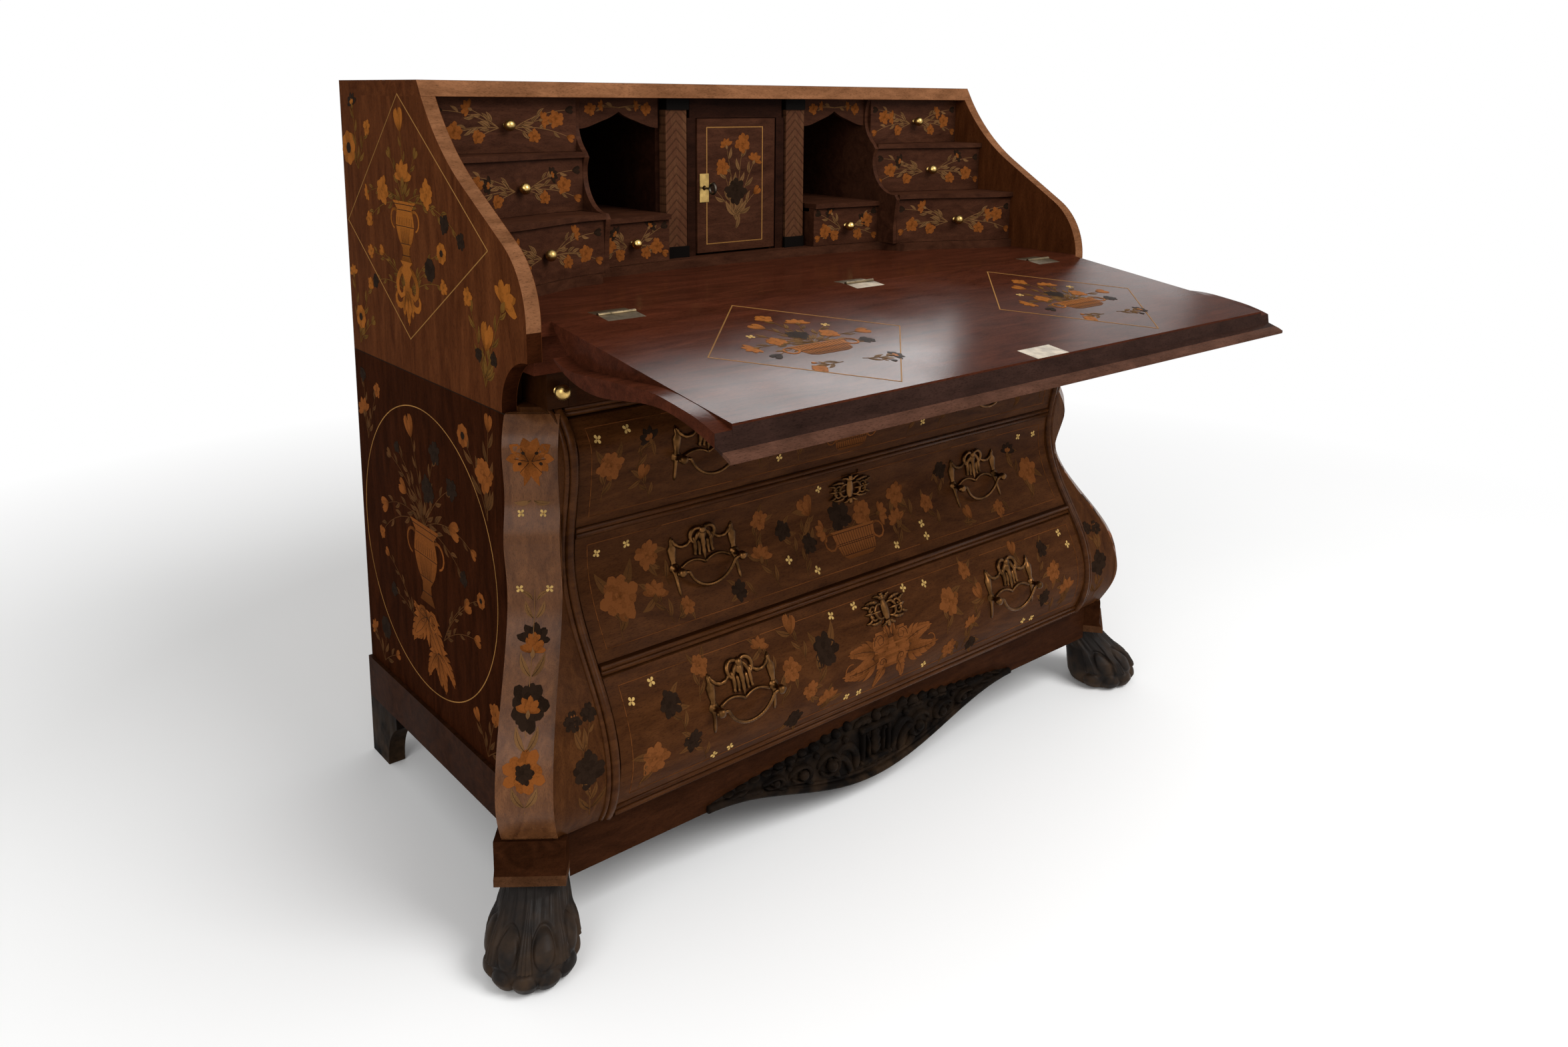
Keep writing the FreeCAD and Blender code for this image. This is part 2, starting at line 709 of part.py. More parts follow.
def set_bed(piece):
    """Puts a piece made about the hinge line in its place."""
    piece.setExpression("Placement.Base.y", "sizes.back_plane - sizes.desk_depth")
    piece.setExpression("Placement.Base.z", "sizes.desk_height")
    return piece


def set_fall(piece):
    """Puts a piece of the fall on the hinge line, let down with its droop."""
    piece.Placement.Rotation = Rotation(Vector(1, 0, 0), size("fall_droop"))
    return set_bed(piece)


bed_board = board("bed_board", f"-{INNER}", INNER, "sizes.back_thickness", "sizes.desk_depth", BED,
                  "sizes.desk_height")
NODES["desk_bed"] = cut("desk_bed", bed_board, [set_bed(along_hinges("bed_sinkings", hinge_sinking(1)))])
NODES["bed_hinge_leaves"] = set_bed(along_hinges("bed_hinge_leaves", leaf_fixed()))


def fall_depth(u):
    """Thickness of the fall at a distance from the hinge line: belly, hollow and upturned lip."""
    belly_at = fall_length * size("fall_belly_share")
    hollow_at = fall_length * size("fall_hollow_share")
    if u < belly_at:
        return size("fall_belly") * (1 - (1 - u / belly_at) ** 2.2)
    if u < hollow_at:
        return wave([(belly_at, size("fall_belly")), (hollow_at, size("fall_hollow"))], u)
    rise = (u - hollow_at) / (lip_reach - hollow_at)
    return size("fall_hollow") + (size("lip_drop") - size("fall_hollow")) * rise ** 2


def under_points(u0, u1, count):
    """Points of the fall's outer curve in a side sketch."""
    return [(-u, -fall_depth(u)) for u in spaced(u0, u1, count)]


def edge_points(count):
    """Points a lip's gap off the side's curved edge, as the shut fall meets it, in a side sketch.
    They stay below the inner face where the side's edge stands above it."""
    heights = spaced(start[1] + 2 * size("bed_nose"), height, 4 * count)
    path = []
    for z in heights:
        if z < first[1]:
            d = belly_depth(z)
        elif z < second[1]:
            d = first[0] - (z - first[1]) / math.tan(edge_slope)
        else:
            d = hollow_depth(z)
        ahead = d - size("desk_depth")
        above = z - size("desk_height")
        u = above * math.sin(slope) - ahead * math.cos(slope)
        h = above * math.cos(slope) + ahead * math.sin(slope) + size("lip_gap")
        h = (h + math.hypot(h, size("lip_sink"))) / 2
        nose_face = fall_length + size("nose_lean") * h / size("nose_drop")
        if size("lip_start") < u < nose_face:
            path.append((-u, -h))
    return path[::4] + path[-1:] if (len(path) - 1) % 4 else path[::4]


bevel_drop = size("lip_drop") - size("lip_edge")
tip = size("fall_tip")
ledge = fall_length + size("nose_lean")
nose = [(-fall_length, 0), (-ledge, -size("nose_drop")),
        (-ledge - size("nose_ledge"), -size("nose_drop") - size("nose_fall")),
        (-lip_reach, -bevel_drop), (-lip_reach, -size("lip_drop"))]
under = under_points(lip_reach, tip, 21)
fall_edges = outline(("line", [(-tip, 0)] + nose), ("curve", under), ("line", [under[-1], (-tip, 0)]))
fall_core = pad("fall_core", "side", fall_edges, f"2 * {FALL_HALF}", x=f"-{FALL_HALF}")
rebate = edge_points(12)
lip_under = under_points(lip_reach, -rebate[0][0], 19)
lip_edges = outline(("curve", rebate), ("line", [rebate[-1]] + nose[1:]), ("curve", lip_under),
                    ("line", [lip_under[-1], rebate[0]]))
fall_lip = pad("fall_lip", "side", lip_edges, f"2 * {LIP_HALF}", x=f"-{LIP_HALF}")
for body in (fall_core, fall_lip):
    body.setExpression("Placement.Base.y", "0")
lock_half = size("lock_width") / 2
lock_foot = Vector(-lock_half, -fall_length, -plate)
lock_shape = Part.makeBox(2 * lock_half, size("lock_depth"), plate, lock_foot)
lock_recess = doc.addObject("Part::Feature", "lock_recess")
lock_recess.Shape = lock_shape
fall_sinkings = along_hinges("fall_sinkings", hinge_sinking(-1))
NODES["fall_board"] = set_fall(cut("fall_board", fuse("fall_solid", [fall_core, fall_lip]),
                                   [fall_sinkings, lock_recess]))
fall_leaves = along_hinges("fall_leaves", leaf_moving())
lock_plate = doc.addObject("Part::Feature", "fall_lock_plate")
lock_plate.Shape = lock_shape
NODES["fall_brasses"] = group("fall_brasses", [set_fall(fall_leaves), set_fall(lock_plate)])


# the three drawers of the chest, with posts, lock plates and bails
def bail_shape():
    """Bail about its own pivot line: pivots, then bends that run into one hanging arc."""
    radius = size("bail_radius")
    low = size("bail_drop")
    bend = size("bail_bend")
    knee = size("post_spread") - size("post_radius") - radius
    fall_angle = 2 * math.atan(low / knee)

    def on_bend(angle):
        return Vector(knee - bend * math.sin(angle), 0, -bend * (1 - math.cos(angle)))

    def other(point):
        return Vector(-point.x, 0, point.z)

    end = Vector(size("post_spread") + size("post_radius") + radius, 0, 0)
    top, middle, foot = [on_bend(angle) for angle in (0, fall_angle / 2, fall_angle)]
    edges = [Part.LineSegment(end, top), Part.Arc(top, middle, foot),
             Part.Arc(foot, Vector(0, 0, -low), other(foot)), Part.Arc(other(foot), other(middle), other(top)),
             Part.LineSegment(other(top), other(end))]
    path = Part.Wire([edge.toShape() for edge in edges])
    ring = Part.Wire([Part.Circle(end, Vector(1, 0, 0), radius).toShape()])
    return path.makePipeShell([ring], True, False)


def lock_plate_box(name, z):
    """Lock plate lying along the front's slope, half let in."""
    slope = front_depth(z + 1) - front_depth(z - 1)
    turn = Rotation(Vector(1, 0, 0), math.degrees(math.atan2(slope, 2)))
    box = doc.addObject("Part::Box", name)
    box.setExpression("Length", "sizes.plate_width")
    box.setExpression("Width", "sizes.plate_thickness")
    box.setExpression("Height", "sizes.plate_height")
    middle = Vector(size("plate_width"), size("plate_thickness"), size("plate_height")) * 0.5
    box.Placement = Placement(Vector(0, size("back_plane") - front_depth(z), z) - turn.multVec(middle), turn)
    return box


def chest_drawer(level, floor, opening_height):
    """One drawer: bombe front, tray, its brasses and two bails."""
    handle = size(level + "_handle_height")
    lock = size(level + "_lock_height")
    gap = size("drawer_gap")
    z0 = worth(floor) + size("drawer_seat")
    z1 = worth(floor) + size(opening_height) - gap
    back = min(front_depth(z) for z in spaced(z0, z1, 15)) - size("front_thickness")
    wide = f"({OPENING} - sizes.drawer_gap)"
    front = bombe(f"{level}_front", back, z0, z1, f"-{wide}", wide)
    depth = front_depth(handle)
    bulge = max(front_depth(z) for z in spaced(handle - size("bail_drop"), handle, 15))
    hang = max(depth + size("bail_stand"), bulge + size("bail_clear"))
    posts = []
    drillings = []
    for i, x in enumerate((-1, 1)):
        for j, side in enumerate((-1, 1)):
            at = f"{x} * {HANDLE} + {side} * sizes.post_spread"
            tag = f"{level}_post_{i}{j}"
            stem = rod(tag + "_stem", "sizes.post_radius",
                       f"{hang - depth} + sizes.post_root + sizes.post_over", at,
                       f"{depth} - sizes.post_root", str(handle), "forward")
            bore = rod(tag + "_bore", "sizes.bail_radius + sizes.running_gap", "3 * sizes.post_radius",
                       f"{at} - 1.5 * sizes.post_radius", str(hang), str(handle), "x")
            posts.append(cut(tag, stem, [bore]))
            drillings.append(rod(tag + "_drilling", "sizes.post_radius", "2 * sizes.post_root", at,
                                 f"{depth} - sizes.post_root", str(handle), "forward"))
    lock_box = lock_plate_box(f"{level}_lock", lock)
    sinking = lock_plate_box(f"{level}_lock_sinking", lock)
    front_cut = cut(f"{level}_front_cut", front, drillings + [sinking])
    tray_wide = f"({OPENING} - 3 * sizes.drawer_gap)"
    tray_top = f"{z1} - sizes.drawer_slack"
    block = board(f"{level}_tray_block", f"-{tray_wide}", tray_wide, "sizes.drawer_back", str(back),
                  str(z0), tray_top)
    well = board(f"{level}_tray_well", f"-{tray_wide} + sizes.drawer_wall",
                 f"{tray_wide} - sizes.drawer_wall", "sizes.drawer_back + sizes.drawer_wall",
                 f"{back} - sizes.drawer_wall", f"{z0} + sizes.drawer_wall", f"{z1}")
    NODES[f"drawer_{level}_front"] = front_cut
    NODES[f"drawer_{level}_tray"] = cut(f"{level}_tray", block, [well])
    NODES[f"drawer_{level}_brasses"] = group(f"{level}_brasses", posts + [lock_box])
    for hand, x in (("left", -1), ("right", 1)):
        bail = doc.addObject("Part::Feature", f"bail_{level}_{hand}")
        bail.Shape = bail_shape()
        bail.setExpression("Placement.Base.x", f"{x} * {HANDLE}")
        bail.setExpression("Placement.Base.y", f"sizes.back_plane - {hang}")
        bail.Placement.Base.z = handle
        NODES[f"bail_{level}_{hand}"] = bail


chest_drawer("lower", FLOOR_3, "lower_opening")
chest_drawer("middle", FLOOR_2, "middle_opening")
chest_drawer("upper", FLOOR_1, "upper_opening")

# nest: plinth, dividers, shelves, pilasters, valances
stack_in = worth(STACK)
pigeon_in = size("pigeon_inner")
nest_floor = worth(NEST)
thin = size("nest_board")
level = (ceiling - nest_floor - 2 * thin) / 3
shelf_z = [nest_floor + level, nest_floor + 2 * level + thin]


def stack_front(which, x):
    """Depth of a stack drawer's front at x: it swells forward towards the side."""
    swell = {"top": 0, "middle": size("middle_swell"), "low": size("low_swell")}[which]
    return wave([(stack_in, size(which + "_front")), (inner, size(which + "_front") + swell)], x)


def pigeon_front(x):
    """Depth of the small drawer's front under a pigeonhole at x."""
    near = size("pigeon_front")
    return wave([(pigeon_in, near), (stack_in, near + size("pigeon_swell"))], x)


def fronted(name, depth_of, x0, x1, back, length, z, ahead=0):
    """Piece with a curved front in plan and a flat back."""
    curve = [(x, -depth_of(x) - ahead) for x in spaced(x0, x1, 9)]
    edges = outline(("curve", curve), ("line", [curve[-1], (x1, -back), (x0, -back), curve[0]]))
    return pad(name, "plan", edges, length, z=z)


mould_out = size("shelf_proud")
centre_front = size("nest_centre_front") + mould_out
right_curve = ([(x, -pigeon_front(x) - mould_out) for x in spaced(pigeon_in, stack_in - thin, 4)]
               + [(x, -stack_front("low", x) - mould_out) for x in spaced(stack_in + thin, inner, 7)])
left_curve = [(-x, d) for x, d in reversed(right_curve)]
nest_back = size("back_thickness")
centre_half = size("pilaster_inner")
plinth_edges = outline(
    ("curve", left_curve),
    ("line", [left_curve[-1], (-centre_half, -centre_front), (centre_half, -centre_front), right_curve[0]]),
    ("curve", right_curve),
    ("line", [right_curve[-1], (inner, -nest_back), (-inner, -nest_back), left_curve[0]]))
plinth_board = pad("nest_plinth_board", "plan", plinth_edges, "sizes.nest_plinth", z="sizes.desk_height")

pin_x = size("door_width") / 2 - size("door_thickness") / 2
pin_depth = size("door_front") - size("door_thickness") / 2
foot_bore = rod("door_foot_bore", "sizes.door_pin_radius + sizes.running_gap",
                f"{DOOR_FOOT} - sizes.desk_height", str(pin_x), str(pin_depth), "sizes.desk_height", "up")
NODES["nest_plinth"] = cut("nest_plinth", plinth_board, [foot_bore])

low_edge = size("low_front")
middle_edge = size("middle_front")
top_edge = size("top_front")
divider_runs = [
    [(low_edge, nest_floor), (low_edge, shelf_z[0] - level / 2), (low_edge + mould_out, shelf_z[0])],
    [(low_edge, shelf_z[0] + thin), (middle_edge + mould_out, shelf_z[0] + level / 2),
     (middle_edge, shelf_z[1] - level / 4), (middle_edge + mould_out, shelf_z[1])],
    [(middle_edge, shelf_z[1] + thin), (top_edge, shelf_z[1] + level / 3), (top_edge, ceiling)]]
divider_edges = []
for run, following in zip(divider_runs, divider_runs[1:] + [None]):
    divider_edges += outline(("curve", side_points(run)))
    if following:
        divider_edges += outline(("line", side_points([run[-1], following[0]])))
divider_edges += outline(("line", side_points([
    divider_runs[-1][-1], (nest_back, ceiling), (nest_back, nest_floor), divider_runs[0][0]])))
divider_right = pad("divider_right", "side", divider_edges, "sizes.nest_board",
                    x=f"{STACK} - sizes.nest_board")
NODES["nest_dividers"] = group("nest_dividers", [divider_right, mirrored("divider_left", divider_right)])

shelves = [fronted("shelf_low", lambda x: stack_front("low", x), stack_in, inner, nest_back,
                   "sizes.nest_board", str(shelf_z[0]), mould_out),
           fronted("shelf_high", lambda x: stack_front("middle", x), stack_in, inner, nest_back,
                   "sizes.nest_board", str(shelf_z[1]), mould_out),
           fronted("shelf_pigeon", pigeon_front, pigeon_in, stack_in - thin, nest_back, "sizes.nest_board",
                   f"{NEST} + sizes.pigeon_level", mould_out)]
NODES["nest_shelves"] = group("nest_shelves", shelves + [mirrored(s.Name + "_left", s) for s in shelves])

OUTER = "(sizes.pigeon_inner - sizes.nest_board)"
walls = [board("closet_wall", "sizes.door_frame_outer", "sizes.pilaster_inner", "sizes.back_thickness",
               "sizes.door_front - sizes.door_thickness", NEST, CEILING),
         board("pigeon_wall", OUTER, "sizes.pigeon_inner", "sizes.back_thickness",
               "sizes.pilaster_front - sizes.pilaster_cap", NEST, CEILING)]
walls += [mirrored(wall.Name + "_left", wall) for wall in walls]

cap_x0 = "(sizes.pilaster_inner - sizes.pilaster_cap_proud)"
PILASTER_BACK = "(sizes.pilaster_front - sizes.pilaster_cap)"
CAP_FRONT = "(sizes.pilaster_front + sizes.pilaster_cap_proud)"
pilaster_right = fuse("pilaster_right", [
    board("pilaster_shaft", "sizes.pilaster_inner", OUTER, PILASTER_BACK, "sizes.pilaster_front", NEST,
          CEILING),
    board("pilaster_base", cap_x0, OUTER, "sizes.pilaster_front", CAP_FRONT, NEST,
          f"{NEST} + sizes.pilaster_cap"),
    board("pilaster_head", cap_x0, OUTER, "sizes.pilaster_front", CAP_FRONT,
          f"{CEILING} - sizes.pilaster_cap", CEILING)])
NODES["pilasters"] = group("pilasters", [pilaster_right, mirrored("pilaster_left", pilaster_right)])

valance_mid = (pigeon_in + stack_in - thin) / 2
valance_wide = stack_in - thin - valance_mid
foot_z = ceiling - size("valance_drop")
apex_z = ceiling - size("valance_apex")
swoop = [(valance_mid + valance_wide * share,
          foot_z + (apex_z - foot_z) * (1 + math.cos(math.pi * share)) / 2)
         for share in spaced(0, 1, 5)]
swoop[0] = (valance_mid, apex_z + size("valance_apex") / 4)
valance_edges = outline(
    ("curve", swoop),
    ("line", [swoop[-1], (stack_in - thin, ceiling), (pigeon_in, ceiling), (pigeon_in, foot_z)]),
    ("curve", [(2 * valance_mid - x, z) for x, z in reversed(swoop)]))
valance_right = pad("valance_right", "face", valance_edges, "sizes.valance_thickness")
valance_right.setExpression("Placement.Base.y",
                            "sizes.back_plane - sizes.valance_depth + sizes.valance_thickness")
NODES["nest_valances"] = group("nest_valances", [valance_right, mirrored("valance_left", valance_right)])

FRAME_BACK = "(sizes.door_front - sizes.door_thickness)"
head_board = board("closet_head", "-sizes.door_frame_outer", "sizes.door_frame_outer",
                   "sizes.back_thickness", "sizes.door_front - sizes.pilaster_cap_proud",
                   f"{DOOR_HEAD} + sizes.drawer_gap", CEILING)
head_bore = rod("door_head_bore", "sizes.door_pin_radius + sizes.running_gap", "2 * sizes.door_pin_length",
                str(pin_x), str(pin_depth), DOOR_HEAD, "up")
jamb = board("door_jamb", "sizes.door_frame_inner", "sizes.pilaster_inner - sizes.pilaster_cap_proud",
             FRAME_BACK, "sizes.door_front - sizes.pilaster_cap_proud", NEST,
             f"{DOOR_HEAD} + sizes.drawer_gap")
head_bored = cut("closet_head_bored", head_board, [head_bore])
NODES["closet_frame"] = group("closet_frame", walls + [head_bored, jamb, mirrored("door_jamb_left", jamb)])


# small drawers of the nest
def small_drawer(name, depth_of, x0, x1, z0, z1, knob_x):
    """One small drawer: curved front, tray and knob, for the right hand; its twin mirrored."""
    gap = size("small_gap")
    left = x0 + gap
    right = x1 - gap
    low = z0 + gap
    high = z1 - gap
    back = min(depth_of(x) for x in spaced(left, right, 9)) - size("small_front")
    front = fronted(f"{name}_front", depth_of, left, right, back, str(high - low), str(low))
    knob, drilling = turned_knob(f"{name}_knob", "sizes.knob_radius", "sizes.knob_neck", str(knob_x),
                                 str(depth_of(knob_x)), str((low + high) / 2))
    block = board(f"{name}_block", f"{left} + sizes.small_gap", f"{right} - sizes.small_gap",
                  "sizes.nest_back", str(back), str(low), f"{high} - sizes.small_wall")
    well = board(f"{name}_well", f"{left} + sizes.small_gap + sizes.small_wall",
                 f"{right} - sizes.small_gap - sizes.small_wall", "sizes.nest_back + sizes.small_wall",
                 f"{back} - sizes.small_wall", f"{low} + sizes.small_wall", str(high))
    drawer = group(f"{name}_right", [cut(f"{name}_front_drilled", front, [drilling]),
                                     cut(f"{name}_tray", block, [well]), knob])
    NODES[f"{name}_right"] = drawer
    NODES[f"{name}_left"] = mirrored(f"{name}_left", drawer)


stack_mid = (stack_in + inner) / 2
small_drawer("nest_drawer_low", lambda x: stack_front("low", x), stack_in, inner, nest_floor, shelf_z[0],
             stack_mid)
small_drawer("nest_drawer_middle", lambda x: stack_front("middle", x), stack_in, inner, shelf_z[0] + thin,
             shelf_z[1], stack_mid)
small_drawer("nest_drawer_top", lambda x: stack_front("top", x), stack_in, inner, shelf_z[1] + thin, ceiling,
             stack_mid)
small_drawer("pigeon_drawer", pigeon_front, pigeon_in, stack_in - thin, nest_floor,
             nest_floor + size("pigeon_level"), valance_mid)

# closet door with its pivots, lock plate and key
door_half = size("door_width") / 2
door_back = size("door_front") - size("door_thickness")
door_edges = outline(("line", [(pin_x, -size("door_front")), (-door_half, -size("door_front")),
                               (-door_half, -door_back), (pin_x, -door_back)]),
                     ("arc", [(pin_x, -door_back), (door_half, -pin_depth), (pin_x, -size("door_front"))]))
door_leaf = pad("door_leaf", "plan", door_edges, DOOR_HIGH, z=DOOR_FOOT)
door_pin = rod("door_pin", "sizes.door_pin_radius", f"{DOOR_HIGH} + 2 * sizes.door_pin_length",
               str(pin_x), str(pin_depth), f"{DOOR_FOOT} - sizes.door_pin_length", "up")
KEY_X = "(-sizes.door_width / 2 + sizes.door_plate_inset)"
key_bore = rod("key_bore", "sizes.key_radius + sizes.running_gap", "sizes.door_thickness", KEY_X,
               "sizes.door_front - sizes.door_thickness / 2", KEY_Z, "forward")
NODES["door_panel"] = cut("door_panel", fuse("door_pinned", [door_leaf, door_pin]), [key_bore])
plate_block = board("door_plate_block", f"{KEY_X} - sizes.door_plate_width / 2",
                    f"{KEY_X} + sizes.door_plate_width / 2", "sizes.door_front",
                    "sizes.door_front + sizes.hinge_plate",
                    f"{KEY_Z} - sizes.door_plate_height / 2",
                    f"{KEY_Z} + sizes.door_plate_height / 2")
plate_bore = rod("door_plate_bore", "2 * sizes.key_radius", "sizes.door_thickness", KEY_X,
                 "sizes.door_front - sizes.door_thickness / 2", KEY_Z, "forward")
NODES["door_lock_plate"] = cut("door_lock_plate", plate_block, [plate_bore])
key_shaft = rod("key_shaft", "sizes.key_radius", "sizes.door_thickness / 2 + 2 * sizes.key_bow", KEY_X,
                "sizes.door_front - sizes.door_thickness / 2 + sizes.running_gap", KEY_Z,
                "forward")
key_ring = doc.addObject("Part::Torus", "key_ring")
key_ring.setExpression("Radius1", "sizes.key_bow")
key_ring.setExpression("Radius2", "sizes.key_radius")
key_ring.Placement.Rotation = Rotation(Vector(0, 1, 0), 90)
key_ring.setExpression("Placement.Base.x", KEY_X)
key_ring.setExpression("Placement.Base.y", "sizes.back_plane - sizes.door_front - 3 * sizes.key_bow")
key_ring.setExpression("Placement.Base.z", KEY_Z)
NODES["door_key"] = fuse("door_key", [key_shaft, key_ring])

doc.recompute()
for piece in doc.Objects:
    if "Invalid" in piece.State or "Error" in piece.State:
        raise RuntimeError(f"{piece.Name}: {piece.State}")
os.makedirs("parts", exist_ok=True)
for node, piece in NODES.items():
    if piece.Shape.isNull() or not piece.Shape.isValid():
        raise RuntimeError(f"{node}: shape not valid")
    piece.Label = node
    piece.Shape.exportStep(f"parts/{node}.step")
box = FreeCAD.BoundBox()
for piece in NODES.values():
    box.add(piece.Shape.BoundBox)
print(len(NODES), "nodes", box)
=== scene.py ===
"""Looks of a slant-front bureau: veneers, marquetry, brass mounts, carving and stage on its CAD frame."""

import json
import math

import bmesh
import bpy
import numpy as np
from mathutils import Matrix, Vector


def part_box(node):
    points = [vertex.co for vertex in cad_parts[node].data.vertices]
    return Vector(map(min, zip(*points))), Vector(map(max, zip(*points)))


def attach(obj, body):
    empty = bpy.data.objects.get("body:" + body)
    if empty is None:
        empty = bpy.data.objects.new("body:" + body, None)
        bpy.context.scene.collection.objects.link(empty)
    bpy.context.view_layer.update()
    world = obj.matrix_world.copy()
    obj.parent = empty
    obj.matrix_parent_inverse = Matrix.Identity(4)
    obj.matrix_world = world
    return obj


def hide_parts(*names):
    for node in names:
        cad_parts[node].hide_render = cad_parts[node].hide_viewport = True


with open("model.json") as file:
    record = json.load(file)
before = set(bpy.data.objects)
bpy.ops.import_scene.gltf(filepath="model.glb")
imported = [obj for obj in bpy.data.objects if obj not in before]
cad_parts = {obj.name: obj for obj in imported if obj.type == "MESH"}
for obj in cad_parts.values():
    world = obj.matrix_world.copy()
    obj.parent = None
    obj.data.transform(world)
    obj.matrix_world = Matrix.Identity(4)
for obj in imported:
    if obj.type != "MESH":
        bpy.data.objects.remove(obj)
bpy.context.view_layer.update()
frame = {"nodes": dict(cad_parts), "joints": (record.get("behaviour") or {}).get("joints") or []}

bl_info = {
    "name": "Slant-front bureau",
    "version": (1, 0, 0),
    "blender": (4, 5, 0),
    "location": "View3D > Sidebar > Bureau",
    "description": "Dresses a bombe bureau with veneers, marquetry, mounts and carving",
    "category": "Add Mesh",
}

MM = 0.001
LEVELS = ("upper", "middle", "lower")
HANDS = ("left", "right")
SIGN = {"left": -1, "right": 1}
NEST_DRAWERS = ("nest_drawer_low", "nest_drawer_middle", "nest_drawer_top", "pigeon_drawer")
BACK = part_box("back_panel")[1].y
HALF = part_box("top_board")[1].x
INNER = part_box("back_panel")[1].x
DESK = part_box("desk_bed")[1].z
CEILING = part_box("top_board")[0].z
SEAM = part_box("upper_side_left")[0].z
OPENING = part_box("drawer_lower_front")[1].x + 0.001
BLOCK_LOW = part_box("foot_blocks")[0].z
HINGE = next(joint for joint in frame["joints"] if joint["name"] == "fall_hinge")["pos_m"]
DROOP = math.radians(7.8)
FALL_LENGTH = 0.364
FALL_FRONT = FALL_LENGTH * math.cos(DROOP) - HINGE[1]
# The front face's dark colour runs 13 mm onto the ledge below it as painted shade of the face; the lip's
# colour starts here
FALL_LEDGE_SHADE_END = FALL_FRONT + 0.013
TRUSS_TURN = math.radians(37.5)
TRUSS_HALF = 0.035
CORNER_DEPTH = 0.503
TRUSS_X = HALF - TRUSS_HALF * math.cos(TRUSS_TURN)
TRUSS_DEPTH = CORNER_DEPTH + TRUSS_HALF * math.sin(TRUSS_TURN)
POST_SPREAD = 0.052
ROPE_SIDES = 18
PILASTER_X = 0.124
LOCK_HEIGHTS = {"upper": 0.632, "middle": 0.484, "lower": 0.313}
APRON_HALF = 0.330
CARVING_HALF = 0.318
CARVING_UP = 0.1
RIM_HALF = 0.326
KNOB_BALL, LOPER_BALL = 0.008, 0.010
KNOB_NECK = 0.003
KNOB_SWELL = 1.035
# A vertex this close to a plane lies on it
NEAR = 2e-4
# Share of the golden section: spreads shades and heights evenly over any number of strips
GOLDEN = 0.61803
# Rise of an inlaid strip and of a cast strap for each step of its lift, and the spread within one step
INLAY_STEP, INLAY_SPREAD = 0.00006, 0.00005
STRAP_STEP, STRAP_SPREAD = MM, 0.0004


def pivot_of(body):
    """Point on the axis of the joint that carries a body."""
    return next(joint for joint in frame["joints"] if joint["child"] == body)["pos_m"]


def colour(name, text, value):
    """Colour property with its default."""
    return bpy.props.FloatVectorProperty(name=name, description=text, subtype="COLOR", size=3, min=0, max=1,
                                         default=value)


def length(name, text, value):
    """Length property with its default, in metres."""
    return bpy.props.FloatProperty(name=name, description=text, unit="LENGTH", min=0, default=value)


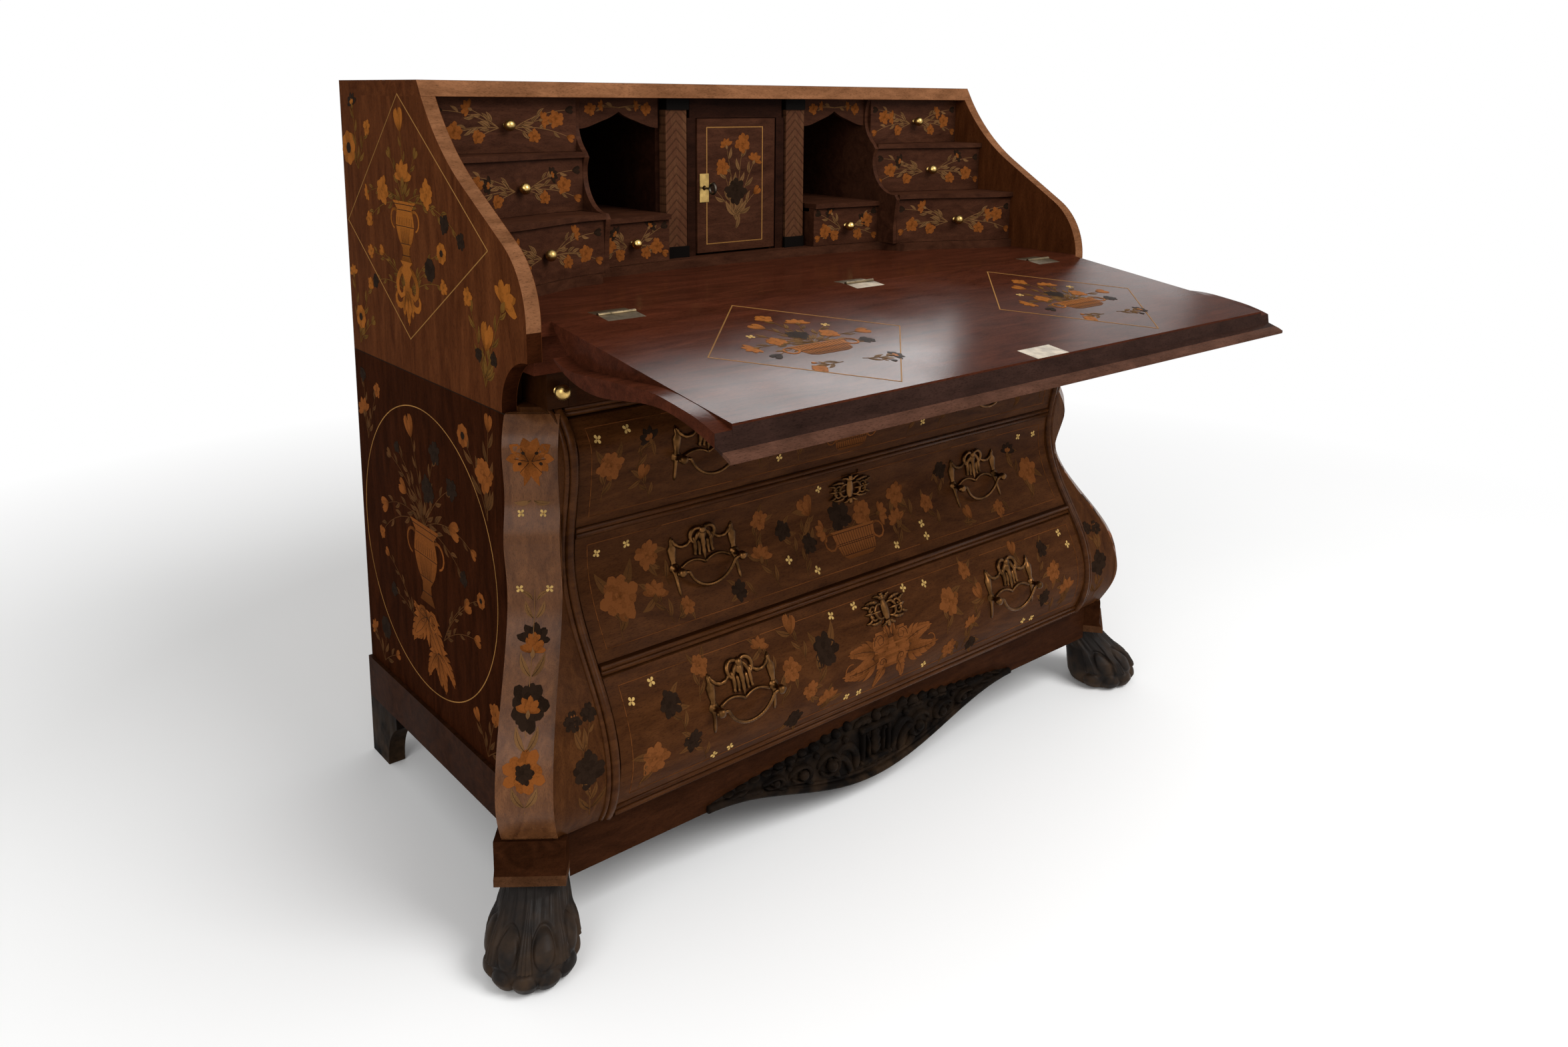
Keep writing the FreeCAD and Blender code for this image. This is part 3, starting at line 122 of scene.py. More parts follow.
class BureauWoods(bpy.types.PropertyGroup):
    """Colours of the veneers, inlays and metals."""

    # The lower sides' colours are set darker than the upper sides': painted shade of the light falling from
    # above
    side_dark: colour("Side, dark", "Dark figure of the lower sides", (0.0135, 0.0036, 0.0013))
    side_light: colour("Side, light", "Light figure of the lower sides", (0.0400, 0.0105, 0.0034))
    upper_dark: colour("Upper side, dark", "Dark figure of the upper sides", (0.0420, 0.0112, 0.0035))
    upper_light: colour("Upper side, light", "Light figure of the upper sides", (0.1050, 0.0320, 0.0098))
    base_dark: colour("Base, dark", "Dark figure of apron, plinths and foot blocks", (0.0140, 0.0044, 0.0017))
    base_light: colour("Base, light", "Light figure of apron, plinths and foot blocks",
                       (0.0400, 0.0130, 0.0048))
    front_dark: colour("Front, dark", "Dark figure of the drawer veneer", (0.0280, 0.0086, 0.0023))
    front_light: colour("Front, light", "Light figure of the drawer veneer", (0.0740, 0.0255, 0.0072))
    truss_dark: colour("Truss, dark", "Dark figure of the corner trusses", (0.0580, 0.0200, 0.0068))
    truss_light: colour("Truss, light", "Light figure of the corner trusses", (0.1500, 0.0590, 0.0210))
    desk_dark: colour("Desk, dark", "Dark figure of the writing surface", (0.0300, 0.0080, 0.0036))
    desk_light: colour("Desk, light", "Light figure of the writing surface", (0.0780, 0.0200, 0.0090))
    # The fall front's colours also make the painted shade on the first 13 mm of the ledge under the face
    nose_dark: colour("Fall front, dark", "Dark figure of the fall's front face", (0.0180, 0.0092, 0.0070))
    nose_light: colour("Fall front, light", "Light figure of the fall's front face", (0.0390, 0.0190, 0.0140))
    lip_dark: colour("Fall lip, dark", "Dark figure of the fall's lip", (0.0420, 0.0185, 0.0112))
    lip_light: colour("Fall lip, light", "Light figure of the fall's lip", (0.1050, 0.0470, 0.0300))
    edge_dark: colour("Edge, dark", "Dark figure of the solid edges", (0.1000, 0.0400, 0.0165))
    edge_light: colour("Edge, light", "Light figure of the solid edges", (0.2500, 0.1080, 0.0490))
    nest_dark: colour("Nest, dark", "Dark figure of the small drawers", (0.0260, 0.0088, 0.0046))
    nest_light: colour("Nest, light", "Light figure of the small drawers", (0.0660, 0.0240, 0.0120))
    oak: colour("Oak", "Dry secondary wood", (0.235, 0.128, 0.058))
    ebony: colour("Ebonised", "Dark stained carving of the apron", (0.0046, 0.0034, 0.0028))
    paw: colour("Paw", "Dark stained paw feet", (0.0125, 0.0098, 0.0084))
    worn: colour("Worn", "Stain worn through on the carving", (0.060, 0.034, 0.018))
    orange: colour("Satinwood", "Orange petals and vases of the upper sides and fall",
                   (0.2600, 0.0830, 0.0130))
    amber: colour("Amber", "Browner petals of the drawers and stiles", (0.1450, 0.0480, 0.0135))
    pale: colour("Holly", "Pale florets", (0.5200, 0.3300, 0.1100))
    dark: colour("Dark petals", "Scorched dark flowers", (0.0190, 0.0105, 0.0064))
    olive: colour("Leaves", "Green-brown leaves and stems", (0.1300, 0.0590, 0.0120))
    rust: colour("Rust", "Deeper orange of the lower sides, trusses and nest", (0.1850, 0.0560, 0.0120))
    bark: colour("Brown leaves", "Faint leaves of lower sides, drawers and stiles", (0.0880, 0.0360, 0.0115))
    tan: colour("Tan leaves", "Faint leaves of the trusses and nest", (0.1500, 0.0730, 0.0280))
    line: colour("Stringing", "Pale lines round the panels", (0.3000, 0.1450, 0.0420))
    brass: colour("Brass", "Bright brass of knobs and hinges", (0.640, 0.420, 0.140))
    antique: colour("Old brass", "Dull gilt brass of the mounts", (0.1350, 0.0600, 0.0190))
    dull: colour("Dull brass", "Hinges and lock plate of the fall", (0.1700, 0.1250, 0.0680))
    iron: colour("Iron", "Key", (0.105, 0.085, 0.065))


class BureauForms(bpy.types.PropertyGroup):
    """Sizes of the ornament."""

    inlay_rise: length("Inlay rise", "Height of the inlay above its ground", 0.00028)
    inlay_depth: length("Inlay depth", "Depth of the inlay below its ground", 0.0006)
    rail_bead: length("Rail bead", "Radius of the beads between the drawers", 0.0034)
    stile_bead: length("Stile bead", "Radius of the bead beside the drawers", 0.0062)
    rope_radius: length("Rope radius", "Radius of the roped bail", 0.0026)
    rope_pitch: length("Rope pitch", "Length of one turn of the roped bail", 0.0125)
    carving_depth: length("Carving depth", "Relief of the apron's carving", 0.0100)


def woods():
    """Colours as set in the scene."""
    return bpy.context.scene.bureau_woods


def forms():
    """Sizes as set in the scene."""
    return bpy.context.scene.bureau_forms


# materials


class Shader:
    """One node material, or a world's nodes: adds nodes, sets their inputs and links them."""

    def __init__(self, name, world=None):
        self.material = world or bpy.data.materials.new(name)
        self.material.use_nodes = True
        self.tree = self.material.node_tree
        self.tree.nodes.clear()
        self.surface = self.add("ShaderNodeBackground" if world else "ShaderNodeBsdfPrincipled")
        self.output = self.add("ShaderNodeOutputWorld" if world else "ShaderNodeOutputMaterial")
        self.tree.links.new(self.surface.outputs[0], self.output.inputs["Surface"])

    def add(self, kind, settings=None, **inputs):
        """New node; an input is a number, a tuple or another node's socket."""
        node = self.tree.nodes.new(kind)
        for key, value in (settings or {}).items():
            setattr(node, key, value)
        for key, value in inputs.items():
            self.put(node.inputs[key.replace("_", " ")], value)
        return node

    def put(self, socket, value):
        """Sets or links one input."""
        if isinstance(value, bpy.types.NodeSocket):
            self.tree.links.new(value, socket)
        else:
            socket.default_value = value

    def finish(self, **inputs):
        """Inputs of the surface shader."""
        for key, value in inputs.items():
            self.put(self.surface.inputs[key.replace("_", " ")], value)
        return self.material

    def place(self, scale=(1, 1, 1)):
        """Object coordinates, stretched."""
        coordinates = self.add("ShaderNodeTexCoord").outputs["Object"]
        return self.add("ShaderNodeMapping", Vector=coordinates, Scale=scale).outputs[0]

    def noise(self, vector, scale, detail=4.0, distortion=0.0, roughness=0.55):
        """Fractal noise value."""
        return self.add("ShaderNodeTexNoise", Vector=vector, Scale=scale, Detail=detail,
                        Distortion=distortion,
                        Roughness=roughness).outputs["Fac"]

    def ramp(self, value, stops):
        """Colour ramp through (place, colour) stops."""
        node = self.add("ShaderNodeValToRGB", Fac=value)
        elements = node.color_ramp.elements
        while len(elements) < len(stops):
            elements.new(0.5)
        for element, (place, tint) in zip(elements, stops):
            element.position = place
            element.color = (*tint, 1)
        return node.outputs["Color"]

    def grey(self, value, low, high, start=0.0, end=1.0):
        """Number stretched from one range to another."""
        return self.add("ShaderNodeMapRange", Value=value, From_Min=start, From_Max=end, To_Min=low,
                        To_Max=high).outputs[0]

    def mix(self, factor, first, second, blend="MIX"):
        """Two colours mixed."""
        node = self.add("ShaderNodeMix", {"data_type": "RGBA", "blend_type": blend})
        self.put(node.inputs[0], factor)
        self.put(node.inputs[6], first)
        self.put(node.inputs[7], second)
        return node.outputs[2]

    def math(self, operation, first, second=0.0):
        """One sum of two numbers."""
        node = self.add("ShaderNodeMath", {"operation": operation})
        self.put(node.inputs[0], first)
        self.put(node.inputs[1], second)
        return node.outputs[0]

    def axis(self, name):
        """One object coordinate."""
        coordinates = self.add("ShaderNodeTexCoord").outputs["Object"]
        return self.add("ShaderNodeSeparateXYZ", Vector=coordinates).outputs[name]

    def bump(self, height, strength, distance):
        """Surface normal from a height."""
        return self.add("ShaderNodeBump", Height=height, Strength=strength, Distance=distance).outputs[0]

    def darker(self, tint, share):
        """A colour times a number."""
        return self.mix(1.0, tint, self.mix(share, (0, 0, 0, 1), (1, 1, 1, 1)), "MULTIPLY")

    def seen_rays(self):
        """1 for rays from the camera, in reflections and through glass, else 0."""
        path = self.add("ShaderNodeLightPath")
        glossy = self.math("MAXIMUM", path.outputs["Is Glossy Ray"], path.outputs["Is Transmission Ray"])
        return self.math("MAXIMUM", path.outputs["Is Camera Ray"], glossy)


def figured(shader, dark, light, stretch, scale):
    """Veneer colour: slow figure along the grain, streaks, and fine pores darker than their ground."""
    grain = shader.place(stretch)
    figure = shader.noise(grain, scale, 5.0, 1.4)
    streak = shader.noise(grain, scale * 5.5, 3.0, 0.4)
    pores = shader.noise(grain, scale * 26.0, 2.0)
    both = shader.math("ADD", shader.math("MULTIPLY", figure, 0.72), shader.math("MULTIPLY", streak, 0.28))
    ground = shader.ramp(both, [(0.30, dark), (0.52, [0.5 * (a + b) for a, b in zip(dark, light)]),
                                (0.70, light)])
    pits = shader.grey(pores, 0.62, 1.06, 0.30, 0.52)
    return shader.darker(ground, pits), pores


def polished(shader, tint, pores, low, high, gloss=0.02):
    """Old thin polish: a low, uneven sheen over open pores."""
    patches = shader.noise(shader.place(), 9.0, 4.0)
    return shader.finish(Base_Color=tint, Roughness=shader.grey(patches, low, high, 0.3, 0.7),
                         Specular_IOR_Level=gloss, Normal=shader.bump(pores, 0.12, 0.0006))


def veneer(name, dark, light, stretch, scale, gloss=0.02, low=0.30, high=0.46):
    """Polished veneer of one figure."""
    shader = Shader(name)
    tint, pores = figured(shader, dark, light, stretch, scale)
    return polished(shader, tint, pores, low, high, gloss)


def edged_veneer(name, dark, light, stretch, scale, zones, gloss=0.0008, low=0.22, high=0.40):
    """Veneer on the faces and other colours in zones (dark, light, bands): other woods, and painted shade in
    some zones.
    Each band (axis, from, to) holds the size of an object coordinate."""
    shader = Shader(name)
    tint, pores = figured(shader, dark, light, stretch, scale)
    for zone_dark, zone_light, bands in zones:
        edge, _ = figured(shader, zone_dark, zone_light, (1, 3, 3), 9.0)
        between = 1.0
        for axis, inside, outside in bands:
            away = shader.math("ABSOLUTE", shader.axis(axis))
            for side, value in (("GREATER_THAN", inside), ("LESS_THAN", outside)):
                between = shader.math("MULTIPLY", between, shader.math(side, away, value))
        tint = shader.mix(between, tint, edge)
    return polished(shader, tint, pores, low, high, gloss)


def herringbone(name):
    """Pilaster: slanted strips meeting on the middle line, under ebonised capital and over ebonised base."""
    shader = Shader(name)
    low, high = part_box("pilasters")
    beside = shader.math("SUBTRACT", shader.math("ABSOLUTE", shader.axis("X")), PILASTER_X)
    across = shader.math("ABSOLUTE", beside)
    slant = shader.math("ADD", shader.axis("Z"), across)
    strip = shader.math("FRACT", shader.math("MULTIPLY", slant, 72.0))
    tint, pores = figured(shader, woods().nest_light, deeper(woods().edge_light, 0.42), (6, 6, 1), 14.0)
    seam = shader.grey(strip, 0.45, 1.0, 0.0, 0.35)
    wood = shader.darker(tint, seam)
    height = shader.axis("Z")
    ends = shader.math("MAXIMUM", shader.math("LESS_THAN", height, low.z + 0.0182),
                       shader.math("GREATER_THAN", height, high.z - 0.0182))
    ebony = (*woods().ebony, 1)
    return polished(shader, shader.mix(ends, wood, ebony), pores, 0.25, 0.4)


def inlay(name, tint, scorch):
    """Inlaid wood: grain along the strip, sand-scorched at its root, each strip a shade of its own."""
    shader = Shader(name)
    strip = shader.add("ShaderNodeUVMap", {"uv_map": "Strip"}).outputs[0]
    parts = shader.add("ShaderNodeSeparateXYZ", Vector=strip)
    root = shader.grey(parts.outputs["X"], scorch, 1.0, 0.0, 0.55)
    shade = shader.grey(parts.outputs["Y"], 0.72, 1.18)
    grain = shader.noise(shader.place((3, 3, 3)), 160.0, 3.0)
    depth = shader.math("MULTIPLY", shader.math("MULTIPLY", root, shade),
                        shader.grey(grain, 0.82, 1.12, 0.3, 0.7))
    tone = shader.darker((*tint, 1), depth)
    return polished(shader, tone, grain, 0.20, 0.36, 0.001)


def metal(name, tint, low, high, patina):
    """Cast metal: uneven polish, with brown patina in patches."""
    shader = Shader(name)
    clouds = shader.noise(shader.place(), 55.0, 5.0)
    shade = shader.ramp(clouds, [(0.36, deeper(tint, patina)), (0.62, tuple(tint))])
    fine = shader.noise(shader.place(), 420.0, 2.0)
    return shader.finish(Base_Color=shade, Metallic=1.0, Roughness=shader.grey(clouds, high, low, 0.35, 0.65),
                         Normal=shader.bump(fine, 0.18, 0.0004))


def stained(name, stain, gloss):
    """Ebonised carving: near-black stain, worn brown towards the floor, with tool marks."""
    shader = Shader(name)
    marks = shader.noise(shader.place((1, 1, 0.35)), 60.0, 4.0, 0.6)
    wear = shader.noise(shader.place(), 26.0, 4.0)
    low = shader.grey(shader.axis("Z"), 0.55, 0.0, 0.0, 0.10)
    worn = shader.math("MULTIPLY", shader.grey(wear, 0.0, 1.0, 0.42, 0.66), shader.math("ADD", low, 0.16))
    tint = shader.mix(worn, (*stain, 1), (*woods().worn, 1))
    return shader.finish(Base_Color=tint, Roughness=shader.grey(marks, 0.34, 0.55, 0.3, 0.7),
                         Specular_IOR_Level=gloss, Normal=shader.bump(marks, 0.35, 0.0012))


def oak(name):
    """Dry oak with open grain along the boards."""
    shader = Shader(name)
    tint, pores = figured(shader, deeper(woods().oak, 0.55), woods().oak, (2, 8, 8), 6.0)
    return shader.finish(Base_Color=tint, Roughness=0.72, Normal=shader.bump(pores, 0.3, 0.0008))


# Veneer: label, wood, stretch of the grain, scale, then gloss and both ends of the roughness if set
VENEERS = {
    # Lower sides: their darker colours hold painted shade of the light falling from above
    "side": ("Side veneer", "side", (5, 5, 1), 7.0, 0.0005),
    "base": ("Base veneer", "base", (1, 5, 5), 8.0, 0.008),
    "front": ("Drawer veneer", "front", (1, 3, 4), 8.0, 0.022),
    "stile": ("Stile veneer", "front", (5, 5, 1.2), 8.0, 0.022),
    "truss": ("Truss veneer", "truss", (5, 5, 1.2), 8.0, 0.15, 0.24, 0.36),
    "desk": ("Desk veneer", "desk", (1, 5, 5), 7.0, 0.004, 0.11, 0.19),
    "nest": ("Nest veneer", "nest", (1, 4, 4), 11.0),
    "bead": ("Bead wood", "front", (1, 6, 6), 10.0, 0.05, 0.2, 0.34),
}
# Metal: label, the two ends of the roughness, darkness of its patina
METALS = {
    "brass": ("Brass", 0.20, 0.38, 0.55),
    "antique": ("Old gilt brass", 0.30, 0.52, 0.38),
    "dull": ("Dull brass", 0.32, 0.5, 0.5),
    "iron": ("Key iron", 0.35, 0.55, 0.6),
}
# Inlay: label, darkness of its scorched root
INLAYS = {
    "orange": ("Satinwood inlay", 0.42),
    "amber": ("Amber inlay", 0.5),
    "rust": ("Rust inlay", 0.45),
    "pale": ("Holly inlay", 0.75),
    "dark": ("Scorched inlay", 0.8),
    "olive": ("Leaf inlay", 0.65),
    "bark": ("Brown leaf inlay", 0.75),
    "tan": ("Tan leaf inlay", 0.8),
    "line": ("Stringing", 1.0),
}
WOODS = tuple(INLAYS)
FINISHES = {}


def deeper(tint, share):
    """A colour at a share of its strength."""
    return [channel * share for channel in tint]


def figure_of(wood, share=1.0):
    """Dark and light figure of a wood, at a share of their strength."""
    return [deeper(getattr(woods(), f"{wood}_{part}"), share) for part in ("dark", "light")]


def edged_finishes():
    """Finishes of boards whose edges, lips or fronts are another wood than their faces, and two painted
    shades: on the upper sides' edges below the fall and on the fall's ledge under its front face.
    """
    thickness = ("X", INNER + 0.0005, HALF - 0.0003)
    # Below this height the upper sides' front edges take the lower sides' dark colour: painted shadow of the
    # let-down fall
    fall_shade_top = DESK - 0.012
    return {
        "edged_side": edged_veneer("Side veneer and edge", *figure_of("upper"), (5, 5, 1), 7.0, [
            (*figure_of("edge"), [thickness, ("Z", fall_shade_top, 2.0)]),
            (*figure_of("side"), [thickness, ("Z", 0.0, fall_shade_top)])]),
        "edged_top": edged_veneer("Top veneer and edge", *figure_of("upper"), (1, 5, 5), 7.0, [
            (*figure_of("edge"), [("Z", CEILING + 0.0004, CEILING + 0.0216), ("X", -1.0, HALF - 0.0003)])]),
        "block": edged_veneer("Foot block and lip", *figure_of("base"), (1, 5, 5), 8.0, [
            (*figure_of("edge", 0.38), [("Z", BLOCK_LOW - 0.001, BLOCK_LOW + 0.0125)])]),
        "fall": edged_veneer("Fall veneer, front and lip", *figure_of("desk"), (1, 5, 5), 7.0, [
            # The front face, and the first 13 mm of the ledge under it in the face's colour as painted shade
            (*figure_of("nose"), [("Y", FALL_FRONT + 0.0003, FALL_LEDGE_SHADE_END)]),
            (*figure_of("lip"), [("Y", FALL_LEDGE_SHADE_END, 1.0)])], 0.004, 0.11, 0.19),
    }


def make_finishes():
    """All materials of the bureau by name."""
    tone = woods()
    made = {name: veneer(label, *figure_of(wood), *rest) for name, (label, wood, *rest) in VENEERS.items()}
    made.update({name: metal(label, getattr(tone, name), *rest) for name, (label, *rest) in METALS.items()})
    made.update({name: inlay(label, getattr(tone, name), scorch) for name, (label, scorch) in INLAYS.items()})
    made.update(edged_finishes())
    made["rail"] = veneer("Rail wood", deeper(tone.front_dark, 0.55), tone.front_dark, (1, 6, 6), 10.0)
    made["dark_inside"] = veneer("Inside wood", deeper(tone.nest_dark, 0.35), tone.nest_dark, (1, 4, 4), 9.0)
    made["pilaster"] = herringbone("Herringbone")
    made["oak"] = oak("Dry oak")
    made["ebony"] = stained("Ebonised carving", tone.ebony, 0.012)
    made["paw"] = stained("Stained paw", tone.paw, 0.06)
    return made


# meshes


def add_piece(name, verts, faces, body, slot, finishes, indices=None, strip_map=None, smooth=True):
    """Mesh object from arrays, with its normals turned outwards, riding on a body."""
    mesh = bpy.data.meshes.new(name)
    mesh.from_pydata(verts.tolist(), [], faces)
    for finish in finishes:
        mesh.materials.append(FINISHES[finish])
    if indices is not None:
        mesh.polygons.foreach_set("material_index", np.asarray(indices, np.int32))
    mesh.polygons.foreach_set("use_smooth", np.full(len(faces), smooth))
    if strip_map is not None:
        owners = np.zeros(len(mesh.loops), np.int32)
        mesh.loops.foreach_get("vertex_index", owners)
        layer = mesh.uv_layers.new(name="Strip")
        layer.data.foreach_set("uv", strip_map[owners].astype(np.float32).ravel())
    work = bmesh.new()
    work.from_mesh(mesh)
    bmesh.ops.recalc_face_normals(work, faces=work.faces)
    work.to_mesh(mesh)
    work.free()
    piece = bpy.data.objects.new(name, mesh)
    bpy.context.scene.collection.objects.link(piece)
    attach(piece, body)
    return piece


def grid_faces(rows, columns, wrap=False):
    """Quads of a grid of points, its columns closed into rings where wrap is set."""
    last = columns if wrap else columns - 1
    i, j = np.meshgrid(np.arange(rows - 1), np.arange(last), indexing="ij")
    k = (j + 1) % columns
    return np.stack([i * columns + j, i * columns + k, (i + 1) * columns + k, (i + 1) * columns + j],
                    -1).reshape(-1, 4)


def joined(parts):
    """Several (vertices, faces) made one."""
    verts = []
    faces = []
    count = 0
    for points, polygons in parts:
        verts.append(points)
        faces += [[corner + count for corner in polygon] for polygon in polygons]
        count += len(points)
    return np.concatenate(verts), faces


def capped_rings(points):
    """Vertices and faces of rings (rows, columns, 3) joined along the rows and closed at both ends."""
    rows, columns = points.shape[:2]
    faces = grid_faces(rows, columns, wrap=True).tolist()
    faces.append(list(range(columns)))
    faces.append(list(range((rows - 1) * columns, rows * columns)))
    return points.reshape(-1, 3), faces


def tube(path, normal, radius, sides=12):
    """Round bar along a flat path: P + r (cos t N + sin t n), n square to the path's plane, N = n x tangent.
    The radius is a number or an array (points, sides)."""
    path = np.asarray(path, float)
    normal = np.asarray(normal, float)
    tangent = np.gradient(path, axis=0)
    tangent /= np.linalg.norm(tangent, axis=1, keepdims=True)
    across = np.cross(normal, tangent)
    angle = np.linspace(0, 2 * np.pi, sides, endpoint=False)
    reach = np.broadcast_to(radius, (len(path), sides))[..., None]
    ring = (np.cos(angle)[None, :, None] * across[:, None] + np.sin(angle)[None, :, None] * normal)
    return capped_rings(path[:, None] + reach * ring)


def turned(profile, origin, axis, sides=24):
    """Turned piece: radius r at distance h along the axis, for (r, h) pairs of the profile."""
    profile = np.asarray(profile, float)
    axis = np.asarray(axis, float)
    helper = np.array([0.0, 0.0, 1.0]) if abs(axis[2]) < 0.9 else np.array([1.0, 0.0, 0.0])
    first = np.cross(axis, helper)
    first /= np.linalg.norm(first)
    second = np.cross(axis, first)
    angle = np.linspace(0, 2 * np.pi, sides, endpoint=False)
    ring = np.cos(angle)[:, None] * first + np.sin(angle)[:, None] * second
    points = np.asarray(origin, float) + profile[:, 1, None, None] * axis + profile[:, 0, None, None] * ring
    return capped_rings(points)


def node_points(node):
    """Vertices of a CAD node."""
    mesh = frame["nodes"][node].data
    points = np.zeros(len(mesh.vertices) * 3, np.float32)
    mesh.vertices.foreach_get("co", points)
    return points.reshape(-1, 3).astype(float)


def skyline(along, out):
    """Largest `out` at each value of `along`, as two arrays in order."""
    along = np.round(along, 5)
    order = np.lexsort((-out, along))
    values, first = np.unique(along[order], return_index=True)
    return values, out[order][first]


def outermost(along, out, reach=0.008, drop=0.004):
    """The points of a skyline that are within `drop` of the highest point within `reach` of them."""
    near = np.abs(along[:, None] - along) < reach
    keep = out > np.where(near, out, -1.0).max(1) - drop
    return along[keep], out[keep]


def front_section(node, x):
    """Heights and y of a front's section, from the node's vertices at one x."""
    points = node_points(node)
    points = points[np.abs(points[:, 0] - x) < NEAR]
    heights, out = skyline(points[:, 2], -points[:, 1])
    return heights, -out


# faces that ornament is laid on: each maps (across, up, rise) to space


def flat_side(hand):
    """Outer side of the case: across is the depth from the back."""
    sign = SIGN[hand]
    return lambda a, b, h: np.stack([sign * (HALF + h), BACK - a, b + 0 * h], -1)


def section_at(along, out):
    """Section through points: at any place it gives its value, its slope and the length of (1, slope)."""
    slope = np.gradient(out, along)

    def at(place):
        tilt = np.interp(place, along, slope)
        return np.interp(place, along, out), tilt, np.sqrt(1 + tilt ** 2)
    return at


def curved_front(heights, ys):
    """Front whose section y(z) is given: P = (a, y(b), b) + h n, n square to the section."""
    at = section_at(heights, ys)

    def place(a, b, h):
        y, tilt, size = at(b)
        return np.stack([a + 0 * h, y - h / size, b + h * tilt / size], -1)
    return place


def serpentine_front(xs, ys):
    """Front whose plan y(x) is given: P = (a, y(a), b) + h n, n square to the plan."""
    at = section_at(xs, ys)

    def place(a, b, h):
        y, tilt, size = at(a)
        return np.stack([a + h * tilt / size, y - h / size, b + 0 * h], -1)
    return place


def flat_front(y):
    """Upright plane facing forward."""
    return lambda a, b, h: np.stack([a + 0 * h, y - h, b + 0 * h], -1)


def fall_face(a, b, h):
    """Writing side of the let-down fall: b is the distance from the hinge line."""
    cos, sin = math.cos(DROOP), math.sin(DROOP)
    return np.stack([a + 0 * h, HINGE[1] - b * cos - h * sin, HINGE[2] - b * sin + h * cos], -1)


def corner_frame(hand, ahead, along, z):
    """Point ahead of a corner's face and along it from its middle."""
    cos, sin = math.cos(TRUSS_TURN), math.sin(TRUSS_TURN)
    x = TRUSS_X + ahead * sin + along * cos
    depth = TRUSS_DEPTH + ahead * cos - along * sin
    return np.stack([SIGN[hand] * x, BACK - depth, z + 0 * x], -1)


def truss_face(hand):
    """Curved face of a corner truss: its section is the farthest vertex at each height."""
    points = node_points("truss_" + hand)
    ahead = ((SIGN[hand] * points[:, 0] - TRUSS_X) * math.sin(TRUSS_TURN)
             + (BACK - points[:, 1] - TRUSS_DEPTH) * math.cos(TRUSS_TURN))
    at = section_at(*skyline(points[:, 2], ahead))

    def place(a, b, h):
        out, tilt, size = at(b)
        return corner_frame(hand, out + h / size, a, b - h * tilt / size)
    return place


def fall_outer_face():
    """Outer side of the fall, below its writing side: its section is taken at the board's ends."""
    points = node_points("fall_board")
    points = points[np.abs(np.abs(points[:, 0]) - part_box("fall_board")[1].x) < NEAR]
    cos, sin = math.cos(DROOP), math.sin(DROOP)
    out = HINGE[1] - points[:, 1]
    down = HINGE[2] - points[:, 2]
    at = section_at(*outermost(*skyline(out * cos + down * sin, down * cos - out * sin)))

    def place(a, b, h):
        depth, tilt, size = at(b)
        return fall_face(a, b - h * tilt / size, -(depth + h / size))
    return place


# strips: the petals, leaves, stems and lines of the inlay, and the straps of mounts and carving

SHAPES = {
    "petal": ((0, 0.15, 0.5, 0.8, 0.94, 1), (0.16, 0.42, 0.88, 1, 0.66, 0.12)),
    "leaf": ((0, 0.2, 0.45, 0.7, 0.88, 1), (0.10, 0.72, 1, 0.72, 0.32, 0.04)),
    "round": ((0, 0.07, 0.25, 0.5, 0.75, 0.93, 1), (0.10, 0.51, 0.866, 1, 0.866, 0.51, 0.10)),
    "stem": ((0, 1), (1, 0.55)),
    "line": ((0, 1), (1, 1)),
    "vase": ((0, 0.06, 0.12, 0.2, 0.3, 0.42, 0.62, 0.76, 0.84, 0.93, 0.95, 1),
             (0.52, 0.56, 0.30, 0.16, 0.42, 0.66, 0.80, 0.74, 0.60, 0.70, 0.98, 1)),
    "console": ((0, 0.1, 0.25, 0.45, 0.6, 0.75, 0.88, 1), (0.05, 0.30, 0.55, 0.28, 0.52, 0.88, 0.50, 0.95)),
    "basket": ((0, 0.06, 0.16, 0.30, 0.55, 0.9, 0.92, 1), (0.52, 0.68, 0.76, 0.80, 0.86, 0.94, 1, 1)),
    "post": ((0, 0.05, 0.34, 0.39, 0.45, 0.52, 0.58, 0.66, 0.76, 0.81, 0.85, 0.91, 1),
             (0.22, 0.36, 0.42, 0.90, 0.98, 0.52, 0.62, 0.96, 1.05, 1.2, 0.45, 0.62, 0.10)),
    "garland": ((0, 0.1, 0.22, 0.34, 0.46, 0.54, 0.66, 0.78, 0.9, 1),
                (0.5, 0.9, 0.55, 1, 0.6, 1, 0.6, 0.95, 0.55, 0.8)),
    "scroll": ((0, 0.15, 0.6, 0.85, 0.95, 1), (0.35, 0.9, 1, 0.62, 0.95, 0.5)),
    "acanthus": ((0, 0.12, 0.3, 0.38, 0.55, 0.63, 0.8, 0.87, 1),
                 (0.2, 0.62, 1, 0.72, 0.92, 0.62, 0.72, 0.42, 0.06)),
}
SHAPE_ROWS = list(SHAPES)


def strip(a, b, heading, long, wide, wood, shape="petal", bend=0.0, curl=0.0, lift=0):
    """One strip from (a, b) in millimetres, its heading turning by bend u + curl u^2 degrees along it."""
    return (a, b, math.radians(heading), long, math.radians(bend), math.radians(curl), wide,
            SHAPE_ROWS.index(shape), wood, lift)


